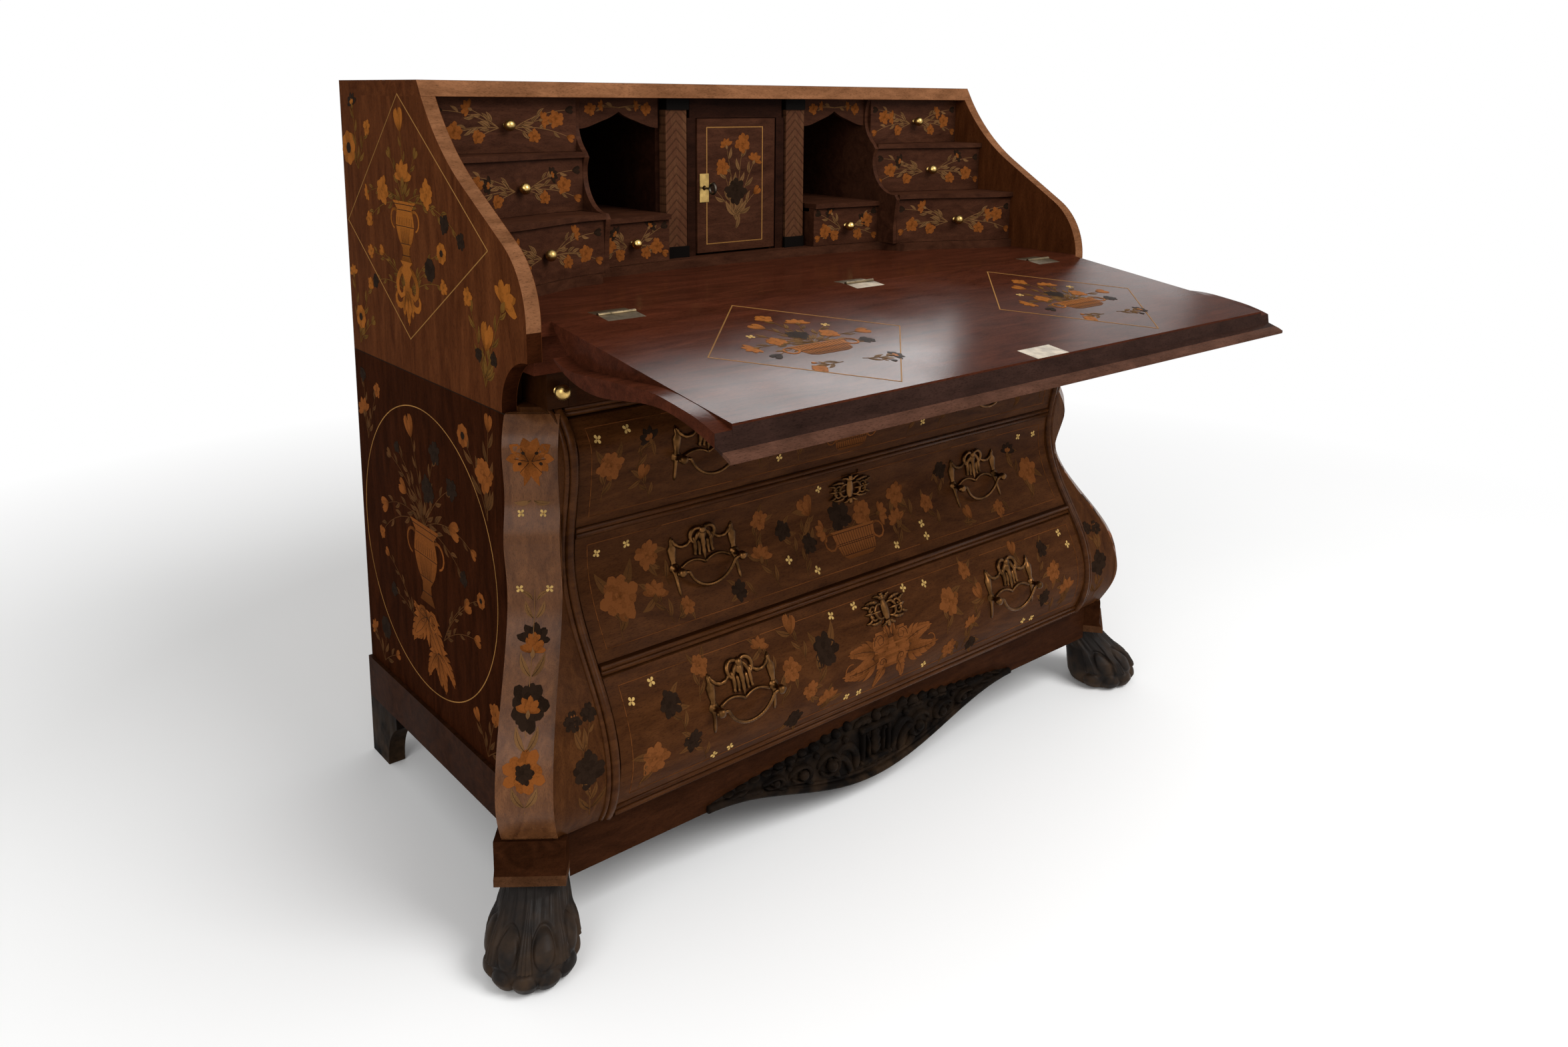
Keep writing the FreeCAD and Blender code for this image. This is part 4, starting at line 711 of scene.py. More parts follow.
def laid(rows, place, section, rise, stations, taper):
    """Points (strips, stations, corners, 3) of strips on a face.
    The spine adds up steps along the turning heading; the section stands across it, scaled by the shape."""
    table = np.array([np.interp(np.linspace(0, 1, stations), *SHAPES[name]) for name in SHAPE_ROWS])
    data = np.array([row[:8] for row in rows], float)
    lift = np.array([row[9] for row in rows], float)
    u = np.linspace(0, 1, stations)
    heading = data[:, 2, None] + data[:, 4, None] * u + data[:, 5, None] * u ** 2
    middle = (heading[:, 1:] + heading[:, :-1]) / 2
    stride = data[:, 3, None] / (stations - 1)
    zero = np.zeros((len(rows), 1))
    a = data[:, 0, None] + np.concatenate([zero, np.cumsum(stride * np.cos(middle), 1)], 1)
    b = data[:, 1, None] + np.concatenate([zero, np.cumsum(stride * np.sin(middle), 1)], 1)
    share = table[data[:, 7].astype(int)]
    half = data[:, 6, None] / 2 * share
    section = np.asarray(section, float)
    across = half[..., None] * section[:, 0]
    height = rise * section[:, 1] * (share[..., None] if taper else 1.0)
    stack = (np.arange(len(rows)) * GOLDEN) % 1.0
    step, spread = (STRAP_STEP, STRAP_SPREAD) if taper else (INLAY_STEP, INLAY_SPREAD)
    height = height + (lift * step + stack * spread)[:, None, None]
    return place((a[..., None] - np.sin(heading)[..., None] * across) * MM,
                 (b[..., None] + np.cos(heading)[..., None] * across) * MM, height + 0 * across)


def strip_mesh(points):
    """Faces of closed strips, and each vertex's (place along the strip, shade of the strip)."""
    size = count, stations, around = points.shape[:3]
    one = grid_faces(stations, around, wrap=True)
    starts = (np.arange(count) * stations * around)[:, None, None]
    quads = (one[None] + starts).reshape(-1, 4)
    ends = np.stack([np.arange(around), np.arange(around) + (stations - 1) * around])
    caps = (ends[None] + starts).reshape(-1, around)
    along = np.broadcast_to(np.linspace(0, 1, stations)[None, :, None], size)
    shade = np.broadcast_to(((np.arange(count) * GOLDEN) % 1.0)[:, None, None], size)
    owner = np.concatenate([np.repeat(np.arange(count), len(one)), np.repeat(np.arange(count), 2)])
    return quads.tolist() + caps.tolist(), np.stack([along.ravel(), shade.ravel()], -1), owner


FLAT = ((-1, -1), (-1, 1), (1, 1), (1, -1))
HALF_ROUND = ((-1, -0.3), (-1, 0.15), (-0.72, 0.7), (0, 1), (0.72, 0.7), (1, 0.15), (1, -0.3))


def inlay_piece(name, rows, place, body, slot, petals="orange", leaves="olive", stations=9):
    """Marquetry laid flush on a face: one mesh, its woods as material slots, petals and leaves as given."""
    rise = forms().inlay_rise
    depth = forms().inlay_depth
    section = [(s, 1 if h > 0 else -depth / rise) for s, h in FLAT]
    points = laid(rows, place, section, rise, stations, False)
    faces, strip_map, owner = strip_mesh(points)
    chosen = {"orange": petals, "olive": leaves}
    wood = np.array([WOODS.index(chosen.get(row[8], row[8])) for row in rows])
    return add_piece(name, points.reshape(-1, 3), faces, body, slot, WOODS, wood[owner], strip_map,
                     smooth=False)


def strap_part(rows, place, rise, stations=15):
    """Half-round straps standing on a face, as vertices and faces."""
    points = laid(rows, place, HALF_ROUND, rise, stations, True)
    return points.reshape(-1, 3), strip_mesh(points)[0]


# motifs, in millimetres


def rose(a, b, size, wood, turn=0.0):
    """Full flower: rings of uneven petals, each ring over the gaps of the one below."""
    rings = ((9, 0.50, 0.27), (8, 0.39, 0.24), (6, 0.26, 0.19), (4, 0.13, 0.12))
    rows = []
    for ring, (count, reach, wide) in enumerate(rings if size > 27 else rings[:3]):
        for i in range(count):
            long = size * reach * (1 + 0.12 * math.cos(2.4 * i + ring + turn))
            rows.append(strip(a, b, turn + 360 * (i + 0.5 * ring) / count, long, size * wide, wood,
                              bend=20 - 34 * (i % 2), lift=ring + 1))
    return rows


def daisy(a, b, size, wood, turn=0.0):
    """Ring of broad petals round a dark heart."""
    rows = [strip(a, b, turn + 45 * i, size * 0.5, size * 0.36, wood, lift=1 + i % 2) for i in range(8)]
    return rows + [strip(a - size * 0.17, b, 0, size * 0.34, size * 0.32, "dark", "round", lift=4)]


def floret(a, b, size, turn=40.0):
    """Four pale petals round a dot."""
    rows = [strip(a, b, turn + 90 * i, size * 0.56, size * 0.36, "pale", lift=2) for i in range(4)]
    return rows + [strip(a - size * 0.08, b, 0, size * 0.16, size * 0.16, "orange", "round", lift=4)]


def carnation(a, b, size, heading, wood):
    """Flower seen from the side: three fans of petals over a cup, the inner one orange in a dark flower."""
    rows = []
    fans = ((9, 0.60, 0.20, 150), (7, 0.46, 0.19, 116), (5, 0.30, 0.16, 80))
    for ring, (count, reach, wide, spread) in enumerate(fans):
        tone = wood if ring < 2 or wood != "dark" else "orange"
        for i in range(count):
            angle = heading + (i / (count - 1) - 0.5) * spread
            long = size * reach * (1 + 0.08 * math.cos(2.9 * i))
            rows.append(strip(a, b, angle, long, size * wide, tone, bend=12 * math.cos(3.1 * i),
                              lift=ring + 1))
    turn = math.radians(heading)
    rows.append(strip(a - size * 0.22 * math.cos(turn), b - size * 0.22 * math.sin(turn), heading,
                      size * 0.34,
                      size * 0.22, "olive", "leaf", lift=5))
    return rows


def tulip(a, b, size, heading, wood):
    """Long petals closing on each other over a shorter one."""
    rows = [strip(a, b, heading + side * 38, size, size * 0.34, wood, bend=-side * 44,
                  lift=1) for side in (-1, 1)]
    rows += [strip(a, b, heading + side * 14, size * 0.98, size * 0.22, wood, bend=-side * 10, lift=2)
             for side in (-1, 1)]
    return rows + [strip(a, b, heading, size * 0.72, size * 0.24, wood, lift=3)]


def leaf(a, b, heading, long, bend):
    """One leaf with its rib."""
    rows = [strip(a, b, heading, long, long * 0.31, "olive", "leaf", bend)]
    if long > 15:
        rows.append(strip(a, b, heading, long * 0.82, 0.6, "dark", "stem", bend * 0.82, lift=1))
    return rows


def stalk(a, b, to_a, to_b, bend=24.0, wide=1.3, leaves=2, leaf_size=18.0):
    """Stem bent from one point to another with leaves on alternate sides."""
    chord = math.hypot(to_a - a, to_b - b)
    heading = math.degrees(math.atan2(to_b - b, to_a - a)) - bend / 2
    turn = math.radians(bend) / 2
    long = chord * (turn / math.sin(turn) if abs(turn) > 1e-3 else 1)
    rows = [strip(a, b, heading, long, wide, "olive", "stem", bend)]
    for i in range(leaves):
        share = (i + 0.7) / (leaves + 0.7)
        middle = math.radians(heading + bend * share / 2)
        side = 1 if i % 2 else -1
        rows += leaf(a + long * share * math.cos(middle), b + long * share * math.sin(middle),
                     heading + bend * share + side * 46, leaf_size * (1.1 - 0.3 * share), -side * 40)
    return rows


def flower(kind, a, b, size, heading, wood="orange"):
    """One flower head by name."""
    heads = {"carnation": lambda: carnation(a, b, size, heading, wood),
             "tulip": lambda: tulip(a, b, size * 0.85, heading, wood),
             "floret": lambda: floret(a, b, size), "daisy": lambda: daisy(a, b, size, wood, heading),
             "rose": lambda: rose(a, b, size, wood, heading)}
    return heads[kind]()


def bouquet(a, b, heads, leaf_size=20.0):
    """Stems from one foot, each to a head (across, up, kind, size, and its wood if not orange)."""
    rows = []
    for i, (to_a, to_b, kind, size, *wood) in enumerate(heads):
        across, up = to_a - a, to_b - b
        bend = -0.34 * across if abs(across) > 4 else (14 if i % 2 else -14)
        bend = max(-52, min(52, bend))
        reach = math.hypot(across, up)
        rows += stalk(a, b, to_a, to_b, bend, 1.3, min(5, int(reach / 22)), min(leaf_size, 0.4 * reach + 6))
        rows += flower(kind, to_a, to_b, size, math.degrees(math.atan2(up, across)) + bend / 2, *wood)
    return rows


def sprig(a, b, heading, long, kind, size, wood):
    """Loose flower on a leafy stem with a bud beside it."""
    angle = math.radians(heading)
    to_a, to_b = a + long * math.cos(angle), b + long * math.sin(angle)
    rows = stalk(a, b, to_a, to_b, 26, 1.2, 4, long * 0.42) + flower(kind, to_a, to_b, size, heading, wood)
    middle_a, middle_b = a + 0.45 * (to_a - a), b + 0.45 * (to_b - b)
    side = math.radians(heading + (50 if int(a + b) % 2 else -50))
    bud_a, bud_b = middle_a + 0.42 * long * math.cos(side), middle_b + 0.42 * long * math.sin(side)
    return (rows + stalk(middle_a, middle_b, bud_a, bud_b, 12, 0.9, 1, long * 0.26)
            + tulip(bud_a, bud_b, size * 0.34, math.degrees(side), wood))


def frame_line(points, wide=1.3, wood="line", parts=1):
    """Straight lines round a closed run of points, each side cut into equal parts."""
    rows = []
    for (a, b), (to_a, to_b) in zip(points, points[1:] + points[:1]):
        heading = math.degrees(math.atan2(to_b - b, to_a - a))
        long = math.hypot(to_a - a, to_b - b)
        for i in range(parts):
            share = i / parts
            rows.append(strip(a + (to_a - a) * share, b + (to_b - b) * share, heading,
                              long / parts + wide / 2, wide,
                              wood, "line"))
    return rows


def oval_line(a, b, wide_half, high_half, line=1.3, pieces=24):
    """Line round an oval, in short arcs that meet on its tangents."""
    rows = []
    for i in range(pieces):
        start, end = 2 * math.pi * i / pieces, 2 * math.pi * (i + 1) / pieces
        first = math.degrees(math.atan2(high_half * math.cos(start), -wide_half * math.sin(start)))
        last = math.degrees(math.atan2(high_half * math.cos(end), -wide_half * math.sin(end)))
        x0, y0 = a + wide_half * math.cos(start), b + high_half * math.sin(start)
        x1, y1 = a + wide_half * math.cos(end), b + high_half * math.sin(end)
        rows.append(strip(x0, y0, first, math.hypot(x1 - x0, y1 - y0) * 1.012, line, "line", "line",
                          (last - first + 180) % 360 - 180))
    return rows


def vase(a, b, wide, high):
    """Footed vase with bands and gadroons across it and two handles."""
    rows = [strip(a, b, 90, high, wide, "orange", "vase", lift=1)]
    for share, part in ((0.13, 0.34), (0.32, 0.42), (0.60, 0.78), (0.86, 0.60), (0.95, 0.94)):
        rows.append(strip(a - wide * part / 2, b + high * share, 0, wide * part, 1.0, "dark", "line", lift=3))
    for i in range(9):
        lean = (i - 4) * 3
        rows.append(strip(a + wide * 0.036 * (i - 4), b + high * 0.33, 90 - lean, high * 0.25, 0.7, "dark",
                          "stem",
                          lift=3))
        rows.append(strip(a + wide * 0.075 * (i - 4), b + high * 0.62, 90, high * 0.12, 0.7, "dark", "stem",
                          lift=3))
    for side in (-1, 1):
        rows.append(strip(a + side * wide * 0.34, b + high * 0.84, 90 - side * 60, high * 0.55, wide * 0.055,
                          "orange", "stem", -side * 200, lift=1))
    return rows


def basket(a, b, wide, high):
    """Woven basket: staves, bands and a ring handle at each end."""
    rows = [strip(a, b, 90, high, wide, "orange", "basket", lift=1)]
    for share, part in ((0.14, 0.72), (0.48, 0.84), (0.54, 0.85), (0.90, 0.93)):
        rows.append(strip(a - wide * part / 2, b + high * share, 0, wide * part, 0.8, "dark", "line", lift=3))
    for i in range(15):
        lean = (i - 7) * 1.0
        rows.append(strip(a + wide * 0.050 * (i - 7), b + high * 0.15, 90 - lean, high * 0.75, 0.6, "dark",
                          "line",
                          lift=4))
    for side in (-1, 1):
        rows.append(strip(a + side * wide * 0.46, b + high * 0.90, 90 - side * 50, high * 1.5, wide * 0.030,
                          "orange",
                          "line", -side * 310, lift=2))
    return rows


def leaf_stand(a, top, wide, high):
    """Console under a vase: a waisted body, two volutes at its head and lobed leaves hanging from it."""
    rows = [strip(a, top - 0.62 * high, 90, 0.62 * high, wide * 0.46, "orange", "console", lift=3)]
    half = [strip(wide * 0.04, -0.06 * high, -30, high * 0.95, wide * 0.11, "orange", "scroll", 60, -330,
                  lift=2),
            strip(wide * 0.04, -0.55 * high, -40, high * 0.62, wide * 0.10, "orange", "scroll", -60, 250,
                  lift=2)]
    half += lobed_leaf(wide * 0.03, -0.46 * high, -58, high * 0.44, -30)
    rows += moved(paired(half), a, top)
    return rows + lobed_leaf(a, top - 0.46 * high, -90, high * 0.54, 1)


def lobed_leaf(a, b, heading, long, bend):
    """Carver's leaf: a spine with pairs of pointed lobes that shorten towards the tip, and a dark rib."""
    rows = [strip(a, b, heading, long, long * 0.20, "orange", "leaf", bend, lift=2),
            strip(a, b, heading, long * 0.80, 0.7, "dark", "stem", bend * 0.80, lift=5)]
    for i in range(5):
        share = 0.08 + 0.17 * i
        middle = math.radians(heading + bend * share / 2)
        for side in (-1, 1):
            rows.append(strip(a + long * share * math.cos(middle), b + long * share * math.sin(middle),
                              heading + bend * share + side * (54 - 4 * i), long * (0.44 - 0.065 * i),
                              long * 0.13,
                              "orange", "leaf", -side * 44, lift=1))
    return rows


def volutes(a, b, size):
    """Pair of scrolls standing side by side, curling outwards, with dark edges."""
    half = [strip(1, 0, 84, size * 2.3, size * 0.30, "orange", "scroll", -250, -120, lift=4),
            strip(3, 0, 84, size * 2.0, 0.8, "dark", "stem", -240, -110, lift=6)]
    return moved(paired(half), a, b)


def disc(a, b, wide, high, lift):
    """Oval laid in level courses, each as long as the oval is there, to follow a swelling face."""
    rows = []
    courses = max(3, round(high / 5))
    for i in range(courses):
        share = (2 * i + 1) / courses - 1
        half = 0.5 * wide * math.sqrt(1 - share ** 2)
        rows.append(strip(a - half, b + 0.5 * high * share, 0, 2 * half, 1.1 * high / courses, "orange",
                          "line", lift=lift))
    return rows


def volute(a, b, radius, hand):
    """Disc with a dark spiral drawn on it, its heading turning faster towards the middle."""
    return disc(a, b, 2 * radius, 2 * radius, 4) + [
        strip(a + hand * 0.8 * radius, b, 90, 3.6 * radius, 0.9, "dark", "stem", hand * 200, hand * 260,
              lift=8)]


def leaf_heap(a, b, leaves):
    """Lobed leaves (heading, length, bend) thrown out from one place, over a rounded heart."""
    rows = [strip(a - 14, b, 0, 28, 24, "orange", "round", lift=1)]
    for one in leaves:
        rows += lobed_leaf(a, b, *one)
    return rows


# Leaves of the heap on the lower drawer: foot, heading, length and bend of one half
HEAP_LEAVES = [(30, 8, 20, 62, -20), (30, -8, -14, 74, 24), (14, -18, -54, 40, -20), (4, 24, 70, 26, 20)]


def scrolled_heap(a, b):
    """Rounded heart with two pairs of volutes, and pointed leaves and tendrils thrown out to either side."""
    half = volute(22, 18, 17, 1) + volute(21, -14, 11, -1)
    for one in HEAP_LEAVES:
        half += lobed_leaf(*one)
    half.append(strip(80, -16, -26, 44, 2.4, "orange", "stem", 230, lift=1))
    return moved(disc(0, 0, 76, 44, 3) + paired(half), a, b)


def raised(rows, lift):
    """The same rows laid over others."""
    return [(*row[:9], row[9] + lift) for row in rows]


def mirrored(rows):
    """The same rows turned over the line across = 0."""
    return [(-a, b, math.pi - heading, long, -bend, -curl, *rest)
            for a, b, heading, long, bend, curl, *rest in rows]


def paired(half):
    """Rows of one half and of its mirror."""
    return half + mirrored(half)


def moved(rows, a, b):
    """The same rows in another place."""
    return [(a + x, b + z, *rest) for x, z, *rest in rows]


def corners(left, right, low, high):
    """Corners of an upright rectangle, in order."""
    return [(left, low), (right, low), (right, high), (left, high)]


# panels: places across and up, in millimetres


def upper_side_rows():
    """Lozenge with a vase of flowers on a console, and loose sprays in the corners."""
    rows = frame_line([(216, 1081), (8, 890), (223, 737), (474, 890)], 1.5)
    rows += vase(222, 845, 78, 88)
    rows += leaf_stand(221, 848, 92, 92)
    rows += bouquet(222, 928, [
        (221, 962, "carnation", 48), (148, 944, "rose", 42), (298, 948, "rose", 40),
        (219, 1030, "tulip", 40), (92, 938, "carnation", 22), (93, 898, "rose", 24),
        (351, 912, "rose", 28, "dark"), (398, 894, "rose", 24, "dark"), (182, 992, "tulip", 20, "olive"),
        (262, 994, "tulip", 20, "olive")])
    rows += bouquet(226, 800, [
        (338, 872, "daisy", 30), (299, 845, "daisy", 34, "dark"), (340, 826, "rose", 22),
        (92, 850, "rose", 22), (143, 852, "tulip", 22), (104, 806, "rose", 22, "dark")], 17)
    rows += bouquet(455, 712, [
        (512, 826, "carnation", 54), (412, 823, "rose", 26), (459, 760, "tulip", 46),
        (438, 752, "rose", 20, "dark"), (480, 752, "rose", 20, "dark")], 26)
    rows += bouquet(30, 700, [
        (37, 742, "daisy", 38), (84, 800, "rose", 20), (18, 806, "carnation", 26),
        (78, 738, "tulip", 20, "olive")], 22)
    rows += bouquet(60, 970, [
        (26, 1000, "daisy", 52), (100, 1032, "rose", 24), (48, 1064, "carnation", 30, "dark")], 22)
    return rows


def lower_side_rows():
    """Oval with a tall vase of flowers over a heap of leaves, and sprays in the corners."""
    rows = oval_line(240, 420, 226, 218, 1.5)
    rows += leaf_heap(234, 316, [(-164, 82, 60), (-122, 76, -40), (-22, 84, -50), (-62, 92, 40),
                                 (196, 52, -60)])
    rows += leaf_heap(268, 272, [(-100, 54, 44), (-50, 62, -40), (-4, 66, -60), (-146, 64, 40)])
    rows += volutes(236, 312, 34)
    rows += vase(238, 340, 100, 122)
    rows += bouquet(240, 460, [
        (206, 588, "tulip", 42), (285, 582, "rose", 36, "dark"), (179, 496, "tulip", 34),
        (106, 460, "tulip", 34), (256, 520, "rose", 44, "dark"), (336, 542, "rose", 34, "dark"),
        (322, 482, "tulip", 40), (128, 540, "tulip", 22, "olive"), (76, 404, "rose", 22),
        (390, 470, "tulip", 22), (364, 420, "rose", 24, "dark"), (150, 560, "rose", 20, "dark")], 24)
    rows += bouquet(290, 300, [
        (416, 405, "daisy", 24), (362, 374, "tulip", 30), (390, 340, "tulip", 26)], 18)
    rows += bouquet(190, 300, [(112, 320, "rose", 24, "dark"), (100, 372, "tulip", 20)], 18)
    rows += bouquet(446, 528, [
        (440, 590, "rose", 50), (380, 630, "daisy", 34), (456, 652, "tulip", 30)], 34)
    rows += bouquet(40, 548, [
        (28, 588, "carnation", 40), (84, 634, "rose", 24), (30, 650, "rose", 24, "dark")], 20)
    rows += bouquet(420, 176, [
        (448, 250, "rose", 36), (396, 218, "tulip", 26), (470, 206, "rose", 24, "dark")], 24)
    rows += bouquet(58, 180, [
        (70, 241, "daisy", 38, "dark"), (26, 222, "carnation", 28), (104, 206, "tulip", 22)], 24)
    return rows


def truss_rows():
    """Palmette at the head of a truss and three flowers one under another down it."""
    half = [strip(1, 634, turn, long, 19, "orange", "acanthus", turn * 0.3 - 30, lift=1)
            for turn, long in ((78, 28), (46, 31), (14, 29), (-20, 26), (-54, 27))]
    half += [strip(0, 634, -82, 38, 11, "orange", "leaf", 14, lift=2),
             strip(6, 642, 20, 5, 4, "dark", "round", lift=4),
             strip(11, 630, -30, 5, 4, "dark", "round", lift=4),
             strip(2, 632, 62, 20, 0.7, "dark", "stem", lift=5),
             strip(2, 632, 10, 18, 0.7, "dark", "stem", lift=5),
             strip(2, 630, -50, 18, 0.7, "dark", "stem", lift=5)]
    half += floret(14, 563, 9) + leaf(2, 578, -30, 22, 50) + floret(19, 461, 10)
    half += leaf(3, 446, 62, 20, -50) + leaf(2, 424, 40, 24, 50)
    half += leaf(1, 364, 34, 28, 50) + leaf(1, 294, 38, 28, 50) + leaf(1, 231, 36, 30, 50)
    rows = paired(half)
    rows += stalk(0, 222, 0, 460, 2, 1.3, 0)
    rows += carnation(0, 397, 36, 90, "dark") + raised(carnation(0, 387, 28, 90, "orange"), 5)
    rows += rose(0, 336, 48, "dark", 10) + raised(carnation(0, 330, 26, 90, "orange"), 5)
    return rows + rose(0, 272, 50, "orange", 6) + raised(rose(0, 271, 24, "dark", 4), 5)


def stile_rows():
    """Dark flower and leaves on the belly of a stile, right hand."""
    rows = rose(532, 258, 46, "dark", 8)
    rows += stalk(528, 192, 532, 246, 10, 1.6, 3, 26)
    rows += leaf(528, 204, 150, 32, -40) + leaf(530, 204, 34, 30, 40) + leaf(530, 222, 60, 28, 40)
    rows += leaf(536, 284, 120, 26, -30) + leaf(536, 284, 60, 26, 30)
    rows += rose(518, 322, 22, "dark") + rose(542, 318, 24, "dark") + tulip(540, 312, 14, 90, "orange")
    return rows + stalk(534, 276, 518, 316, 10, 1.2, 2, 14) + stalk(536, 276, 542, 312, -10, 1.2, 2, 14)


# Flower heads and pale florets of each drawer front
DRAWER_FLOWERS = {
    "upper": ((
        (-440, 612, "rose", 40), (-392, 584, "tulip", 26), (-378, 636, "carnation", 28, "dark"),
        (-212, 600, "rose", 34), (-168, 628, "tulip", 24), (-128, 594, "rose", 28, "dark"),
        (-84, 622, "carnation", 28), (84, 622, "rose", 32), (132, 594, "carnation", 28),
        (174, 630, "rose", 26, "dark"), (214, 598, "tulip", 30), (384, 632, "rose", 30),
        (396, 580, "carnation", 24, "dark"), (438, 606, "rose", 40)), (
        (-456, 650), (-410, 655), (-150, 566), (-104, 658), (110, 654), (152, 568), (410, 655), (456, 650))),
    "middle": ((
        (-429, 429, "rose", 58), (-376, 417, "carnation", 34), (-331, 396, "rose", 22),
        (-377, 471, "rose", 38), (-181, 475, "rose", 30), (-189, 423, "carnation", 32),
        (-85, 461, "tulip", 40), (97, 456, "rose", 38), (89, 417, "carnation", 32), (161, 430, "rose", 28),
        (251, 389, "tulip", 26), (322, 391, "rose", 26), (424, 433, "rose", 46),
        (-140, 451, "rose", 30, "dark"), (-96, 423, "rose", 28, "dark"), (-242, 394, "rose", 26, "dark"),
        (206, 474, "rose", 30, "dark"), (380, 470, "carnation", 32, "dark")), (
        (-454, 492), (-408, 494), (-142, 411), (-97, 388), (70, 387), (137, 404), (138, 386), (-64, 497),
        (410, 494), (452, 492))),
    "lower": ((
        (-344, 328, "rose", 28), (-242, 322, "carnation", 26), (-197, 282, "rose", 34),
        (-165, 243, "rose", 28), (-129, 214, "carnation", 34), (-184, 326, "tulip", 30),
        (-433, 236, "rose", 44), (134, 214, "rose", 32), (137, 292, "rose", 44), (188, 326, "rose", 26),
        (211, 279, "tulip", 30), (400, 275, "rose", 36), (182, 243, "carnation", 26),
        (-401, 298, "rose", 34, "dark"), (-129, 290, "rose", 48, "dark"), (-373, 240, "rose", 30, "dark"),
        (-191, 205, "rose", 32, "dark"), (190, 206, "rose", 26, "dark"), (385, 316, "rose", 26, "dark"),
        (373, 236, "rose", 30, "dark"), (436, 234, "carnation", 36), (310, 322, "tulip", 26)), (
        (-456, 317), (-421, 330), (-306, 204), (-333, 202), (-103, 330), (-56, 332), (50, 332), (95, 328),
        (-87, 204), (-61, 202), (80, 203), (326, 205), (350, 203), (440, 330), (453, 309))),
}


def drawer_rows(level, low, high):
    """Line border, flowers on their own stems, pale florets, and a basket or a leaf heap in the middle."""
    rows = frame_line(corners(-468, 468, low + 12, high - 12), 0.8, "orange", parts=8)
    flowers, florets = DRAWER_FLOWERS[level]
    for i, (a, b, kind, size, *wood) in enumerate(flowers):
        foot = max(low + 16, b - 0.5 * size - 26)
        lean = (12 + 5 * (i % 4)) * (1 if i % 2 else -1)
        rows += stalk(a + lean, foot, a, b, 1.6 * lean, 1.1, 3, 9 + 0.36 * size)
        rows += leaf(a, b, 40 + 77 * i, 0.9 * size, 40) + leaf(a, b, 150 + 77 * i, 0.85 * size, -40)
        rows += flower(kind, a, b, size, 90 - lean, *wood)
    for i, (a, b) in enumerate(florets):
        rows += floret(a, b, 10.5, 30 + 23 * i)
    if level == "lower":
        return rows + scrolled_heap(0, 252)
    wide, tall, foot = (92, 40, low + 22) if level == "middle" else (78, 32, low + 18)
    rows += basket(-6, foot, wide, tall)
    heads = [(-26, foot + tall + 20, "rose", 46, "dark"), (20, foot + tall + 16, "rose", 40),
             (-62, foot + tall + 6, "carnation", 28), (54, foot + tall + 8, "carnation", 30)]
    return rows + bouquet(-6, foot + tall, heads, 18)


# Middles of the fall's two lozenges, and their distance from the hinge
LOZENGE_MIDDLES = (-262, 259)
LOZENGE_DOWN = 189


def on_fall(row, middle):
    """A row of a lozenge set on the fall, where up is towards the hinge."""
    a, b, heading, long, bend, curl, *rest = row
    return (middle + a, LOZENGE_DOWN - b, -heading, long, -bend, -curl, *rest)


def fall_rows():
    """Two lozenges, each with a flower basket, their feet towards the front edge."""
    made = frame_line([(0, 160), (-158, 0), (0, -160), (158, 0)], 1.6)
    made += basket(0, -46, 92, 36)
    made += bouquet(0, -10, [
        (-44, 14, "rose", 28), (0, 24, "rose", 32, "dark"), (44, 14, "rose", 28), (-84, 4, "carnation", 28),
        (82, 6, "tulip", 28), (-24, 60, "tulip", 28), (32, 62, "carnation", 30), (2, 96, "rose", 26),
        (-70, -26, "tulip", 22, "dark"), (72, -26, "rose", 22, "dark"), (-62, 42, "floret", 11, "pale"),
        (64, 44, "floret", 11, "pale")], 20)
    made += sprig(-16, -78, 190, 44, "rose", 22, "orange") + sprig(16, -78, -10, 44, "carnation", 24, "dark")
    return [on_fall(row, middle) for middle in LOZENGE_MIDDLES for row in made]


def fall_back_rows():
    """Outer side of the fall, seen when it is shut: a wide lozenge with a basket, and corner sprays."""
    rows = frame_line(corners(-470, 470, 60, 326), 1.2, parts=8)
    rows += frame_line([(0, 318), (-300, 195), (0, 72), (300, 195)], 1.2, parts=6)
    rows += basket(0, 112, 104, 44)
    rows += bouquet(0, 156, [
        (0, 206, "rose", 44, "dark"), (-60, 186, "rose", 40), (60, 186, "rose", 40),
        (-124, 170, "carnation", 34), (124, 170, "carnation", 34), (-36, 250, "tulip", 32),
        (36, 250, "tulip", 32), (-180, 190, "rose", 26, "dark"), (180, 190, "rose", 26, "dark")], 24)
    half = bouquet(420, 84, [
        (440, 150, "rose", 46), (390, 130, "carnation", 34, "dark"), (340, 100, "tulip", 28)], 26)
    half += bouquet(430, 310, [
        (440, 240, "rose", 40), (380, 280, "carnation", 36), (310, 296, "rose", 28, "dark")], 26)
    return rows + paired(half)


def small_front_rows(low_a, high_a, low_b, high_b, seed):
    """Flower sprays left and right of a small drawer's knob."""
    middle, height = (low_a + high_a) / 2, (low_b + high_b) / 2
    reach = (high_a - low_a) / 2 - 14
    rows = []
    for side in (-1, 1):
        tilt = 8 * ((seed + side) % 3) - 8
        second = "dark" if (seed + side) % 2 else "orange"
        heads = [(middle + side * reach * 0.80, height + tilt, "rose", 26),
                 (middle + side * reach * 0.56, height + 15 - tilt, "carnation", 22, second),
                 (middle + side * reach * 0.44, height - 16, "rose", 20),
                 (middle + side * reach * 0.98, height - 17, "tulip", 16),
                 (middle + side * reach * 0.96, height + 21, "tulip", 16, "dark")]
        rows += bouquet(middle + side * 12, height - 4, heads, 17)
    return rows


